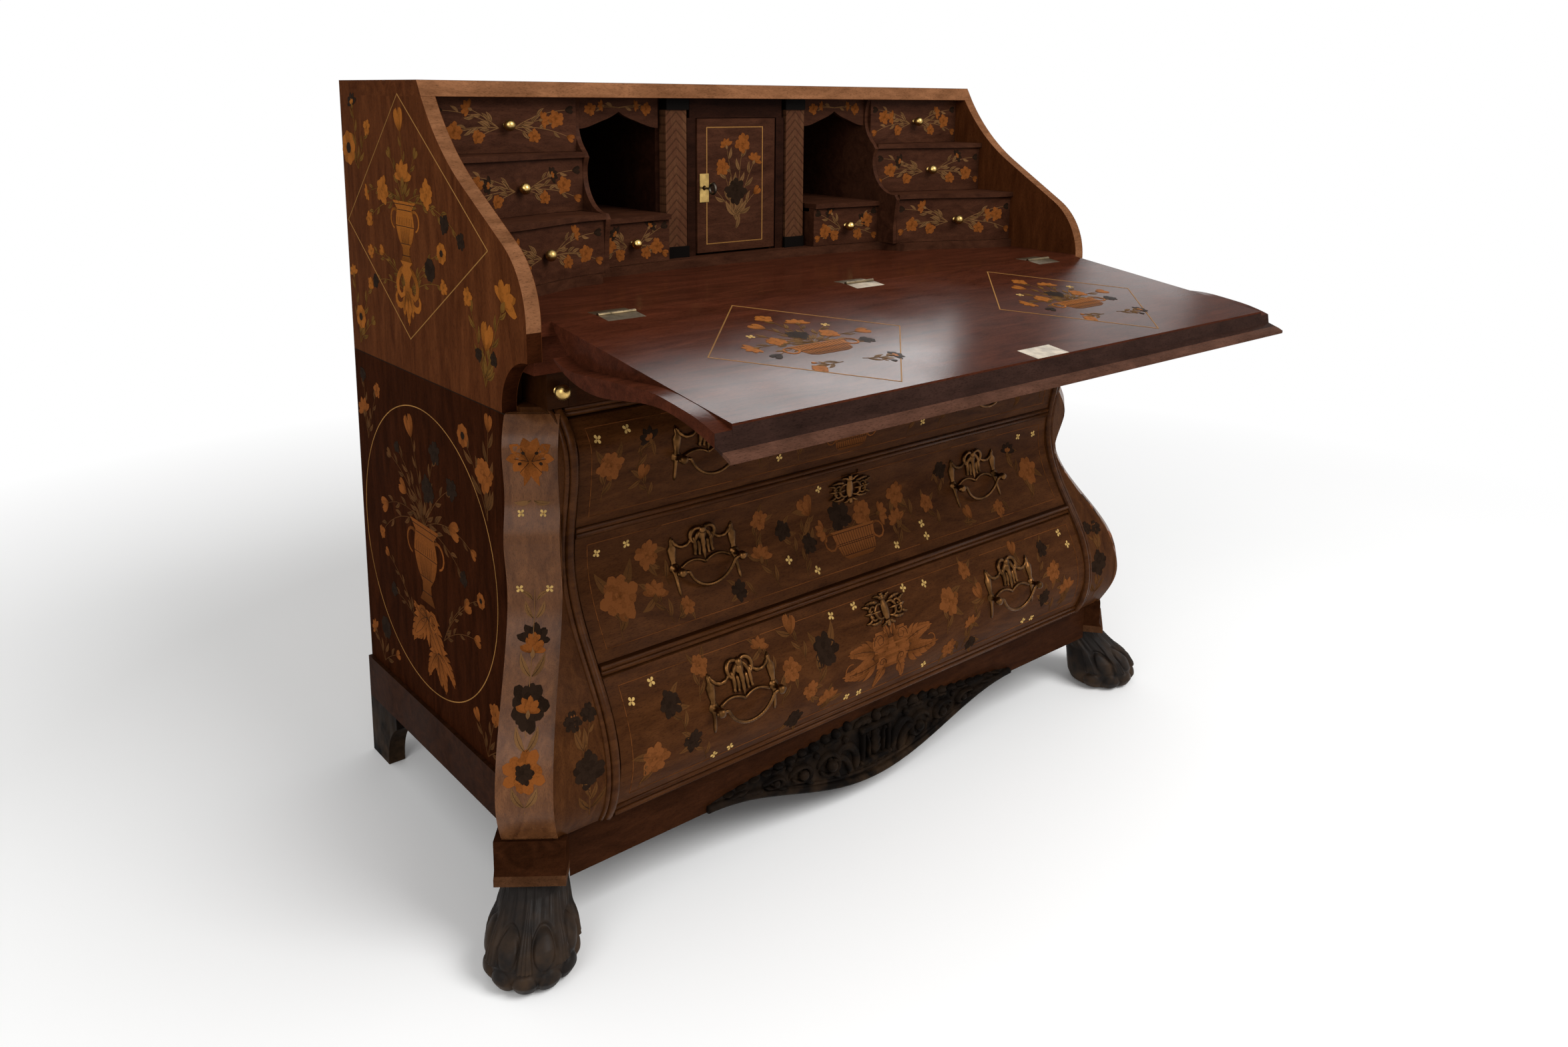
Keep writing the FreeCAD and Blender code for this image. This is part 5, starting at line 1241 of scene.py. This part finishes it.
def door_rows(low, high):
    """Line border and an upright spray with orange and dark heads."""
    rows = frame_line(corners(-64, 52, low + 14, high - 14), 1.6)
    rows += bouquet(-4, low + 50, [
        (-4, low + 98, "rose", 44, "dark"), (-32, low + 138, "rose", 28), (10, low + 176, "rose", 32),
        (34, low + 146, "carnation", 26), (-24, low + 172, "carnation", 22), (34, low + 92, "tulip", 20),
        (-44, low + 100, "tulip", 20, "dark")], 24)
    rows += leaf(-4, low + 58, 150, 34, -40) + leaf(-4, low + 58, 30, 34, 40)
    return rows + leaf(-4, low + 36, 60, 26, 30)


class BureauPiece:
    """Shared by the operators: each can be undone."""

    bl_options = {"REGISTER", "UNDO"}


class BUREAU_OT_finishes(BureauPiece, bpy.types.Operator):
    """Make the materials and put them on the CAD nodes"""

    bl_idname = "bureau.finishes"
    bl_label = "Woods and metals"

    def execute(self, context):
        FINISHES.update(make_finishes())
        chosen = {"top_board": "edged_top", "upper_side_left": "edged_side", "upper_side_right": "edged_side",
                  "stiles": "stile", "truss_left": "truss", "truss_right": "truss", "foot_blocks": "block",
                  "side_plinths": "base", "apron": "base", "frieze_panel": "base", "fall_board": "fall",
                  "desk_bed": "desk", "back_panel": "oak", "fall_rail": "desk", "pilasters": "pilaster",
                  "closet_frame": "dark_inside", "nest_dividers": "nest", "door_key": "iron",
                  "door_lock_plate": "brass", "loper_guides": "rail", "loper_left": "rail",
                  "loper_right": "rail"}
        starts = {"lower_side": "side", "nest_": "nest", "pigeon_": "nest", "door_": "nest", "paw": "paw",
                  "back_feet": "ebony", "dust_board": "rail", "case_bottom": "rail", "bail": "antique",
                  "bed_hinge": "dull", "fall_brasses": "dull"}
        for name, node in frame["nodes"].items():
            finish = chosen.get(name)
            if finish is None and name.startswith("drawer_"):
                finish = {"front": "front", "tray": "oak", "brasses": "antique"}[name.split("_")[-1]]
            if finish is None:
                finish = next(value for start, value in starts.items() if name.startswith(start))
            node.data.materials.clear()
            node.data.materials.append(FINISHES[finish])
        return {"FINISHED"}


class BUREAU_OT_case_marquetry(BureauPiece, bpy.types.Operator):
    """Inlay the sides, trusses and stiles"""

    bl_idname = "bureau.case_marquetry"
    bl_label = "Case marquetry"

    def execute(self, context):
        stile_z, stile_y = front_section("stiles", OPENING)
        for hand in HANDS:
            rows = upper_side_rows() + [strip(4, SEAM / MM, 0, 500, 1.2, "dark", "line")]
            inlay_piece(f"upper_side_marquetry_{hand}", rows, flat_side(hand), "carcase", "marquetry_veneer")
            inlay_piece(f"lower_side_marquetry_{hand}", lower_side_rows(), flat_side(hand), "carcase",
                        "marquetry_veneer", "rust", "bark")
            inlay_piece(f"truss_marquetry_{hand}", truss_rows(), truss_face(hand), "carcase",
                        "marquetry_veneer",
                        "rust", "tan")
            stile = stile_rows() if hand == "right" else mirrored(stile_rows())
            inlay_piece(f"stile_marquetry_{hand}", stile, curved_front(stile_z, stile_y), "carcase",
                        "marquetry_veneer", "amber", "bark")
        return {"FINISHED"}


class BUREAU_OT_drawer_marquetry(BureauPiece, bpy.types.Operator):
    """Inlay the fronts of the three long drawers"""

    bl_idname = "bureau.drawer_marquetry"
    bl_label = "Drawer marquetry"

    def execute(self, context):
        for level in LEVELS:
            node = f"drawer_{level}_front"
            low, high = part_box(node)
            face = curved_front(*front_section(node, low.x))
            rows = drawer_rows(level, low.z / MM, high.z / MM)
            inlay_piece(f"drawer_{level}_marquetry", rows, face, f"drawer_{level}", "marquetry_veneer",
                        "amber",
                        "bark")
        return {"FINISHED"}


class BUREAU_OT_fall_marquetry(BureauPiece, bpy.types.Operator):
    """Inlay both sides of the fall"""

    bl_idname = "bureau.fall_marquetry"
    bl_label = "Fall marquetry"

    def execute(self, context):
        inlay_piece("fall_marquetry", fall_rows(), fall_face, "fall", "marquetry_veneer")
        inlay_piece("fall_outer_marquetry", fall_back_rows(), fall_outer_face(), "fall", "marquetry_veneer")
        return {"FINISHED"}


class BUREAU_OT_nest_marquetry(BureauPiece, bpy.types.Operator):
    """Inlay the small drawers and the closet door"""

    bl_idname = "bureau.nest_marquetry"
    bl_label = "Nest marquetry"

    def execute(self, context):
        for seed, name in enumerate(NEST_DRAWERS):
            for hand in HANDS:
                node = f"{name}_{hand}"
                low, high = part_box(node)
                points = node_points(node)
                points = points[points[:, 2] > high.z - NEAR]
                xs, out = skyline(points[:, 0], -points[:, 1])
                rows = small_front_rows(low.x / MM, high.x / MM, low.z / MM, high.z / MM, seed + SIGN[hand])
                inlay_piece(f"{node}_marquetry", rows, serpentine_front(xs, -out), node, "nest_veneer",
                            "rust", "tan")
        low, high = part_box("door_panel")
        rows = door_rows(low.z / MM + 6, high.z / MM - 6)
        inlay_piece("door_marquetry", rows, flat_front(low.y), "door", "nest_veneer", "rust", "tan")
        rows = []
        for side in (-1, 1):
            middle, top = side * 224, CEILING / MM - 15
            rows += bouquet(middle, top, [
                (middle - 50, top - 2, "rose", 20), (middle + 50, top - 2, "rose", 20),
                (middle - 28, top + 3, "carnation", 15), (middle + 28, top + 3, "carnation", 15)], 12)
        valance = flat_front(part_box("nest_valances")[0].y)
        inlay_piece("valance_marquetry", rows, valance, "carcase", "nest_veneer", "rust", "tan")
        return {"FINISHED"}


def strap(a, b, heading, long, wide, shape, bend=0.0, lift=0, curl=0.0):
    """One strap of a casting or carving, of one finish all over."""
    return strip(a, b, heading, long, wide, "line", shape, bend, curl, lift)


def handle_straps():
    """Straps of one handle about its bail's pivots: posts, swags, ribbon bow, tails and festoons."""
    half = [strap(POST_SPREAD / MM, -34, 90, 77, 13, "post", lift=1),
            strap(17, 36, -62, 44, 7.0, "garland", 136, 1),
            strap(1, 42, 62, 44, 6.6, "scroll", -236, 2),
            strap(15, 36, -102, 27, 6.6, "scroll", 26, 2),
            strap(8, 30, -96, 22, 6.0, "scroll", 14, 2),
            strap(3, 44, -36, 22, 6.4, "leaf", -50, 3),
            strap(0, -2, 36, 45, 4.2, "line", -72, 1)]
    return paired(half) + [strap(0, 50, -90, 49, 10, "acanthus", lift=3),
                           strap(-8, 37, 0, 16, 18, "round", lift=2),
                           strap(-6, 43, 0, 12, 12, "round", lift=4)]


def escutcheon_straps():
    """Straps of one lock mount about its keyhole: an oval boss in a lace of small scrolls and leaves."""
    half = [strap(5, 8, 40, 34, 5.0, "scroll", -190, 1), strap(5, -7, -40, 32, 5.0, "scroll", 190, 1),
            strap(19, 5, 72, 30, 4.6, "scroll", -250, 1), strap(19, -4, -72, 28, 4.6, "scroll", 250, 1),
            strap(12, 12, 24, 26, 6.6, "acanthus", -40, 2), strap(12, -10, -24, 24, 6.2, "acanthus", 40, 2),
            strap(31, 7, 50, 15, 5.6, "acanthus", -60, 2), strap(31, -5, -50, 14, 5.4, "acanthus", 60, 2),
            strap(26, 1, 4, 16, 6.0, "leaf", lift=2), strap(9, 1, 0, 22, 5.0, "leaf", lift=2),
            strap(3, 14, 62, 17, 6.0, "acanthus", -80, 2), strap(3, -12, -62, 14, 5.6, "acanthus", 70, 2)]
    return paired(half) + [strap(0, -15, 90, 32, 15, "round", lift=1),
                           strap(0, 13, 90, 12, 11, "acanthus", lift=2),
                           strap(0, -11, -90, 12, 10, "acanthus", lift=2)]


def shifted(face, a, b):
    """A face with its middle moved."""
    return lambda across, up, h: face(across + a, up + b, h)


def post_profile(reach):
    """Turned post of a handle: a foot on the drawer front, a neck, and a knop round the bail's pivot."""
    return [(0.0004, -0.004), (0.0080, -0.003), (0.0080, 0.0012), (0.0050, 0.003),
            (0.0034, 0.006), (0.0034, reach - 0.007), (0.0052, reach - 0.0055),
            (0.0064, reach - 0.002), (0.0064, reach + 0.002), (0.0048, reach + 0.0048),
            (0.0022, reach + 0.0060), (0.0003, reach + 0.0064)]


class BUREAU_OT_mounts(BureauPiece, bpy.types.Operator):
    """Cast handles' plates, posts and lock mounts of the long drawers"""

    bl_idname = "bureau.mounts"
    bl_label = "Brass mounts"

    def execute(self, context):
        for level in LEVELS:
            front = f"drawer_{level}_front"
            heights, ys = front_section(front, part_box(front)[0].x)
            face = curved_front(heights, ys)
            parts = []
            for hand in HANDS:
                x, y, z = pivot_of(f"bail_{level}_{hand}")
                parts.append(strap_part(handle_straps(), shifted(face, x, z), 0.0042))
                ground = float(np.interp(z, heights, ys))
                reach = ground - y
                for side in (-1, 1):
                    post = turned(post_profile(reach), (x + side * POST_SPREAD, ground, z), (0, -1, 0), 20)
                    parts.append(post)
            lock = LOCK_HEIGHTS[level]
            parts.append(strap_part(escutcheon_straps(), shifted(face, 0, lock), 0.0040))
            piece = add_piece(f"drawer_{level}_mounts", *joined(parts), f"drawer_{level}", "antique_brass",
                              ["antique"])
            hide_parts(f"drawer_{level}_brasses")
            # No keyhole is cut: a dark inlay stands for the shade inside it, painted shade
            keyhole_shade = [strip(-2.6, 4, 0, 5.2, 5.2, "dark", "round", lift=18),
                    strip(0, 4, -90, 12, 3.2, "dark", "line", lift=18)]
            inlay_piece(f"drawer_{level}_keyhole", keyhole_shade, shifted(face, 0, lock), f"drawer_{level}",
                        "key_iron")
        return {"FINISHED"}


def bail_line():
    """Line of a bail about its pivots: straight ends, a small bend at each knee and a hanging arc.
    The arc turns by 2 atan(drop / knee) to each side, so that it runs on from the bends."""
    knee, bend, drop, end = POST_SPREAD - 0.008, 0.006, 0.028, POST_SPREAD + 0.0078
    steep = 2 * math.atan(drop / knee)
    big = knee / math.sin(steep) - bend
    turn = np.linspace(0, steep, 12)
    first = np.stack([knee - bend * np.sin(turn), -bend * (1 - np.cos(turn))], -1)
    swing = np.linspace(steep, -steep, 90)[1:-1]
    arc = np.stack([big * np.sin(swing), big - drop - big * np.cos(swing)], -1)
    straight = np.stack([np.linspace(end, knee, 8)[:-1], np.zeros(7)], -1)
    right = np.concatenate([straight, first])
    return np.concatenate([right, arc, right[::-1] * [-1, 1]])


def rope_radius(line, sides):
    """Radius of a three-strand rope, r (0.8 + 0.2 |cos 1.5 (t + 2 pi s / pitch)|) at angle t and run s.
    It goes over into plain round bar at the ends."""
    run = np.concatenate([[0], np.cumsum(np.linalg.norm(np.diff(line, axis=0), axis=1))])
    angle = np.linspace(0, 2 * np.pi, sides, endpoint=False)
    twist = angle[None] + 2 * np.pi * run[:, None] / forms().rope_pitch
    lobes = 0.80 + 0.20 * np.abs(np.cos(1.5 * twist))
    plain = np.clip((np.abs(line[:, 0]) - POST_SPREAD + 0.011) / 0.004, 0, 1)[:, None]
    return forms().rope_radius * (lobes * (1 - plain) + 0.88 * plain)


class BUREAU_OT_bails(BureauPiece, bpy.types.Operator):
    """Roped bails: a three-strand twist along the bends and the hanging arc"""

    bl_idname = "bureau.bails"
    bl_label = "Roped bails"

    def execute(self, context):
        flat = bail_line()
        radius = rope_radius(flat, ROPE_SIDES)
        for level in LEVELS:
            for hand in HANDS:
                body = f"bail_{level}_{hand}"
                x, y, z = pivot_of(body)
                path = np.stack([x + flat[:, 0], np.full(len(flat), y), z + flat[:, 1]], -1)
                rope = tube(path, (0, 1, 0), radius, ROPE_SIDES)
                piece = add_piece(f"{body}_rope", *rope, body, "antique_brass", ["antique"])
                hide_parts(body)
        return {"FINISHED"}


def knob_profile(ball):
    """Turned knob: a foot, a neck and a ball, its profile an arc from the neck to the tip."""
    swell = KNOB_SWELL * ball
    foot = [(0.0004, -0.001), (ball * 0.60, -0.0006), (ball * 0.60, 0.0006), (ball * 0.44, 0.0012),
            (ball * 0.40, 0.0026)]
    arc = [(swell * math.sin(t), KNOB_NECK + ball - swell * math.cos(t))
           for t in np.linspace(0.50, np.pi, 14)]
    return foot + arc[:-1] + [(0.0003, arc[-1][1])]


class BUREAU_OT_knobs(BureauPiece, bpy.types.Operator):
    """Turned brass knobs on the small drawers and lopers"""

    bl_idname = "bureau.knobs"
    bl_label = "Knobs"

    def execute(self, context):
        for hand in HANDS:
            for name in NEST_DRAWERS + ("loper",):
                node = f"{name}_{hand}"
                points = node_points(node)
                ball = LOPER_BALL if name == "loper" else KNOB_BALL
                low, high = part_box(node)
                x, z = (low.x + high.x) / 2, (low.z + high.z) / 2
                tip = points[np.hypot(points[:, 0] - x, points[:, 2] - z) < ball, 1].min()
                ground = tip + 2 * ball + KNOB_NECK
                knob = turned(knob_profile(ball), (x, ground, z), (0, -1, 0), 28)
                add_piece(f"{node}_knob", *knob, node, "brass", ["brass"])
        return {"FINISHED"}


def paw_surface():
    """Carved paw about its corner: how far ahead, along and up each point is.
    Each level v is an oval, ahead + deep cos t and wide sin t, scaled by the carving at (t, v)."""
    v = np.linspace(0, 1, 96)[:, None]
    share = np.linspace(-1, 1, 220, endpoint=False)[None]
    angle = np.pi * (0.55 * share + 0.45 * share ** 3)
    stops = (0, 0.05, 0.15, 0.30, 0.48, 0.65, 0.85, 1)
    ahead = np.interp(v, stops, (0.124, 0.124, 0.124, 0.123, 0.116, 0.104, 0.086, 0.078))
    wide = np.interp(v, stops, (0.0450, 0.0535, 0.0590, 0.0610, 0.0570, 0.0490, 0.0440, 0.0430))
    deep = np.interp(v, stops, (0.0480, 0.0575, 0.0630, 0.0645, 0.0590, 0.0490, 0.0430, 0.0420))
    scale = np.full(np.broadcast_shapes(v.shape, angle.shape), 0.915)
    # toes: a round knuckle with a groove over it
    for middle in np.radians([-77.0, -26.0, 26.0, 77.0]):
        away = np.sqrt(((angle - middle) / math.radians(15)) ** 2 + ((v - 0.46) / 0.16) ** 2)
        scale += 0.085 * np.sqrt(np.clip(1 - away ** 2, 0, 1))
        scale -= 0.080 * np.exp(-((away - 1.12) / 0.14) ** 2) * np.clip((v - 0.40) / 0.12, 0, 1)
    # claws: small round swellings near the floor
    for middle in np.radians([-104.0, -68.0, -34.0, 0.0, 34.0, 68.0, 104.0]):
        away = ((angle - middle) / math.radians(16.5)) ** 2 + ((v - 0.13) / 0.15) ** 2
        scale += 0.115 * np.sqrt(np.clip(1 - away, 0, 1))
    # tufts of fur between the toes, narrower towards the ankle
    for middle in np.radians([-104.0, -52.0, 0.0, 52.0, 104.0]):
        half = np.radians(np.interp(v, (0.30, 0.85), (11.5, 5.0)))
        ridge = np.clip((1 - np.abs(angle - middle) / half) * 3.5, 0, 1)
        ridge = ridge * np.clip((v - 0.29) / 0.03, 0, 1) * np.clip((0.95 - v) / 0.40, 0, 1)
        scale += ridge * (0.100 + 0.014 * np.sin((angle - middle) / half * 14))
    # fine hair on the ankle
    neck = np.clip((v - 0.60) / 0.18, 0, 1)
    hair = 0.026 * np.sin(angle * 19 + 1.5 * np.sin(angle * 4)) + 0.009 * np.sin(angle * 46 + 4 * v)
    scale += neck * hair
    out = ahead + deep * np.cos(angle) * scale
    return out, wide * np.sin(angle) * scale, np.broadcast_to(v * BLOCK_LOW, out.shape)


class BUREAU_OT_paws(BureauPiece, bpy.types.Operator):
    """Carved paw feet: fur falling in tufts between arched toes over blunt claws"""

    bl_idname = "bureau.paws"
    bl_label = "Paw feet"

    def execute(self, context):
        for hand in HANDS:
            paw = capped_rings(corner_frame(hand, *paw_surface()))
            piece = add_piece(f"carved_paw_{hand}", *paw, "carcase", "ebonised_wood", ["paw"])
            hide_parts(f"paw_{hand}")
        return {"FINISHED"}


def apron_edge(across):
    """Height of the apron's lower edge: half a cosine down to the middle."""
    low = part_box("apron")[0].z
    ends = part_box("side_plinths")[0].z
    share = np.clip(np.abs(across) / APRON_HALF, 0, 1)
    return ends + (low - ends) * (1 + np.cos(np.pi * share)) / 2


# Berries of the apron's carving, right half: across, up and radius
BERRIES = ((0.095, 0.046, 0.0092), (0.151, 0.046, 0.0080), (0.204, 0.046, 0.0064),
           (0.124, 0.074, 0.0052), (0.178, 0.074, 0.0046), (0.066, 0.080, 0.0056))


def carving_straps():
    """Straps of the apron's carving: cartouche in the middle, leaf scrolls to either side."""
    half = [strap(28, 26, 90, 58, 8, "line", lift=1), strap(-1, 30, 0, 34, 8, "line", lift=1),
            strap(-1, 80, 0, 36, 9, "line", lift=2), strap(16, 34, 90, 40, 6, "scroll", 30, 1, -70),
            strap(40, 22, 96, 82, 15, "scroll", -30, 1, -150),
            strap(54, 20, 84, 74, 12, "scroll", -40, 2, -150),
            strap(8, 90, 10, 42, 12, "acanthus", 30, 2, -90),
            strap(70, 16, 30, 60, 14, "acanthus", 70, 1),
            strap(126, 18, 24, 58, 13, "acanthus", 70, 1),
            strap(180, 18, 20, 56, 13, "acanthus", 60, 1),
            strap(224, 30, 6, 44, 30, "acanthus", 10, 1),
            strap(252, 52, 0, 58, 34, "acanthus", -6, 0)]
    for a, size in ((96, 25), (152, 24), (205, 22)):
        half.append(strap(a + size, 46, 92, 4.6 * size, 10, "scroll", 300, 2, 40))
        half.append(strap(a + size * 0.5, 84, 150, 36, 10, "acanthus", 70, 2))
    for i in range(11):
        half.append(strap(50 + 23 * i, 88, 60 - 6 * (i % 2), 22, 15, "petal", -60, 1 + i % 2))
    return paired(half) + [strap(0, 34, 90, 46, 22, "acanthus", lift=3),
                           strap(-8, 94, 0, 16, 16, "round", lift=3)]


class BUREAU_OT_apron_carving(BureauPiece, bpy.types.Operator):
    """Carved middle of the apron: sunk ground, rim, cartouche and leaf scrolls with berries"""

    bl_idname = "bureau.apron_carving"
    bl_label = "Apron carving"

    def execute(self, context):
        low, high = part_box("apron")
        front = flat_front(low.y)

        def crown(across):
            taper = 0.16 + 0.64 * np.cos(np.clip(np.abs(across) / CARVING_HALF, 0, 1) * np.pi / 2)
            return apron_edge(across) + (high.z - apron_edge(across)) * taper

        def field(across, up, rise):
            """The carving's field: up runs from the apron's lower edge to the crown over CARVING_UP."""
            foot = apron_edge(across)
            return front(across, foot + (crown(across) - foot) * up / CARVING_UP, rise)

        across, up = np.meshgrid(np.linspace(-CARVING_HALF, CARVING_HALF, 240),
                                 np.linspace(0, CARVING_UP, 30), indexing="ij")
        ripple = 0.0010 * np.sin(across * 190 + 6 * np.sin(across * 40)) * np.sin(up * 90 + across * 30)
        ends = np.clip((CARVING_HALF - np.abs(across)) * 60, 0, 1)
        edge = np.clip(np.minimum(up, CARVING_UP - up) * 90, 0, 1) * ends
        ground = field(across, up, 0.0004 + (0.0018 + ripple) * edge)
        inside = field(across, up, np.full(up.shape, -0.0008))[:, ::-1]
        parts = [capped_rings(np.concatenate([ground, inside], 1))]
        rim = np.linspace(-RIM_HALF, RIM_HALF, 160)
        lower = front(rim, apron_edge(rim) + 0.0055, np.full(rim.shape, 0.0030))
        parts.append(tube(lower, (0, 1, 0), 0.0056, 14))
        inner = rim[10:-10]
        upper = field(inner, np.full(inner.shape, 0.016), np.full(inner.shape, 0.0016))
        parts.append(tube(upper, (0, 1, 0), 0.0032, 12))
        parts.append(strap_part(carving_straps(), field, forms().carving_depth, 17))
        turn = np.linspace(0.15, np.pi - 0.03, 12)
        for x, up, size in BERRIES:
            ball = [(size * math.sin(t), size * 0.9 - size * math.cos(t)) for t in turn]
            for sign in (-1, 1):
                middle = field(np.array(sign * x), np.array(up), np.array(0.0))
                parts.append(turned(ball, middle, (0, -1, 0), 16))
        add_piece("apron_carving", *joined(parts), "carcase", "ebonised_wood", ["ebony"])
        return {"FINISHED"}


class BUREAU_OT_beads(BureauPiece, bpy.types.Operator):
    """Beads beside and between the drawers"""

    bl_idname = "bureau.beads"
    bl_label = "Beads"

    def execute(self, context):
        heights, ys = front_section("stiles", OPENING)
        z = np.linspace(heights[0] + 0.001, heights[-1] - 0.001, 160)
        y = np.interp(z, heights, ys)
        parts = []
        for sign in (-1, 1):
            for offset, radius in ((0.0072, forms().stile_bead), (0.0172, forms().stile_bead * 0.55)):
                path = np.stack([np.full(z.shape, sign * (OPENING + offset)), y, z], -1)
                parts.append(tube(path, (1, 0, 0), radius, 14))
        for board in ("dust_board_lower", "dust_board_middle", "dust_board_upper", "case_bottom"):
            low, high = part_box(board)
            for share in (0.26, 0.74):
                x = np.linspace(-OPENING + 0.001, OPENING - 0.001, 3)
                path = np.stack([x, np.full(3, low.y + 0.0006),
                                 np.full(3, low.z + share * (high.z - low.z))], -1)
                parts.append(tube(path, (0, 0, 1), forms().rail_bead, 12))
        add_piece("drawer_beads", *joined(parts), "carcase", "rail_veneer", ["bead"])
        return {"FINISHED"}


# Lamps: name, place, aim, width, height and power; a window shows in reflections alone
LAMPS = (
    ("Key", (0.9, -3.1, 3.5), (0, 0, 0.5), 2.4, 2.4, 150.0),
    ("Fill", (-3.4, -1.6, 2.4), (0, 0, 0.5), 2.2, 2.2, 45.0),
    ("Left window", (2.15, 2.30, 2.47), (-0.35, -0.37, 0.77), 1.45, 1.3, 190.0),
    ("Right window", (3.60, 1.57, 2.10), (0.35, -0.29, 0.78), 0.50, 1.2, 8.0),
)
WORLD_ON_OBJECT = 0.55
FLOOR_RADIUS = 60
FLOOR_SIDES = 96
FLOOR_HEIGHT = -0.0006
CAMERA_PLACE = (-1.22371, -1.36042, 1.08482)
CAMERA_TURN = (79.2722, -0.5679, -40.1887)
CAMERA_LENS = 27.3388
CAMERA_SENSOR = 36
CAMERA_SHIFT = -0.12942


class BUREAU_OT_stage(BureauPiece, bpy.types.Operator):
    """Pale floor, soft studio light and the camera"""

    bl_idname = "bureau.stage"
    bl_label = "Stage"

    def execute(self, context):
        scene = context.scene
        scene.view_settings.view_transform = "Standard"
        ring = np.linspace(0, 2 * np.pi, FLOOR_SIDES, endpoint=False)
        rim = np.stack([FLOOR_RADIUS * np.cos(ring), FLOOR_RADIUS * np.sin(ring),
                        np.full(FLOOR_SIDES, FLOOR_HEIGHT)], -1)
        mesh = bpy.data.meshes.new("floor")
        mesh.from_pydata(rim.tolist(), [], [list(range(FLOOR_SIDES))])
        mesh.materials.append(self.pale_floor())
        floor = bpy.data.objects.new("floor", mesh)
        scene.collection.objects.link(floor)
        self.light_world(scene)
        for name, place, aim, wide, high, power in LAMPS:
            lamp = bpy.data.lights.new(name, "AREA")
            lamp.shape = "RECTANGLE"
            lamp.size = wide
            lamp.size_y = high
            lamp.energy = power
            light = bpy.data.objects.new(name, lamp)
            light.location = place
            away = light.location - type(light.location)(aim)
            light.rotation_euler = away.to_track_quat("Z", "Y").to_euler()
            light.visible_camera = False
            light.visible_diffuse = "window" not in name
            scene.collection.objects.link(light)
        camera = bpy.data.cameras.new("Camera")
        camera.lens = CAMERA_LENS
        camera.sensor_width = CAMERA_SENSOR
        camera.shift_y = CAMERA_SHIFT
        viewer = bpy.data.objects.new("Camera", camera)
        viewer.location = CAMERA_PLACE
        viewer.rotation_euler = [math.radians(turn) for turn in CAMERA_TURN]
        scene.collection.objects.link(viewer)
        scene.camera = viewer
        return {"FINISHED"}

    def pale_floor(self):
        """Near-white floor that keeps the shadow, and turns to plain white away from the object."""
        shader = Shader("Pale floor")
        clouds = shader.noise(shader.place(), 0.7, 2.0)
        tint = shader.ramp(clouds, [(0.3, (0.955, 0.955, 0.95)), (0.7, (0.975, 0.975, 0.97))])
        shader.finish(Base_Color=tint, Roughness=0.9, Specular_IOR_Level=0.0)
        coordinates = shader.add("ShaderNodeTexCoord").outputs["Object"]
        away = shader.add("ShaderNodeVectorMath", {"operation": "LENGTH"},
                          Vector=coordinates).outputs["Value"]
        far = shader.math("MULTIPLY", shader.grey(away, 0.0, 1.0, 1.3, 2.6), shader.seen_rays())
        white = shader.add("ShaderNodeEmission", Color=(1, 1, 1, 1), Strength=1.0)
        both = shader.add("ShaderNodeMixShader", Fac=far)
        shader.put(both.inputs[1], shader.surface.outputs[0])
        shader.put(both.inputs[2], white.outputs[0])
        shader.put(shader.output.inputs["Surface"], both.outputs[0])
        return shader.material

    def light_world(self, scene):
        """White to the camera and in reflections, softer on the object."""
        scene.world = bpy.data.worlds.new("Studio")
        shader = Shader("Studio", scene.world)
        shader.finish(Color=(1, 1, 1, 1), Strength=shader.grey(shader.seen_rays(), WORLD_ON_OBJECT, 1.0))


STEPS = (BUREAU_OT_finishes, BUREAU_OT_case_marquetry, BUREAU_OT_drawer_marquetry, BUREAU_OT_fall_marquetry,
         BUREAU_OT_nest_marquetry, BUREAU_OT_mounts, BUREAU_OT_bails, BUREAU_OT_knobs, BUREAU_OT_paws,
         BUREAU_OT_apron_carving, BUREAU_OT_beads, BUREAU_OT_stage)


class BUREAU_PT_panel(bpy.types.Panel):
    """Steps and settings of the bureau"""

    bl_label = "Bureau"
    bl_idname = "BUREAU_PT_panel"
    bl_space_type = "VIEW_3D"
    bl_region_type = "UI"
    bl_category = "Bureau"

    def draw(self, context):
        for step in STEPS:
            self.layout.operator(step.bl_idname)
        for group in (context.scene.bureau_woods, context.scene.bureau_forms):
            for name in group.__annotations__:
                self.layout.prop(group, name)


CLASSES = (BureauWoods, BureauForms) + STEPS + (BUREAU_PT_panel,)


def register():
    for cls in CLASSES:
        bpy.utils.register_class(cls)
    bpy.types.Scene.bureau_woods = bpy.props.PointerProperty(type=BureauWoods)
    bpy.types.Scene.bureau_forms = bpy.props.PointerProperty(type=BureauForms)


def unregister():
    del bpy.types.Scene.bureau_forms
    del bpy.types.Scene.bureau_woods
    for cls in reversed(CLASSES):
        bpy.utils.unregister_class(cls)


def main():
    """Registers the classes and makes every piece."""
    register()
    for step in STEPS:
        group, name = step.bl_idname.split(".")
        getattr(getattr(bpy.ops, group), name)()


if __name__ == "__main__":
    main()
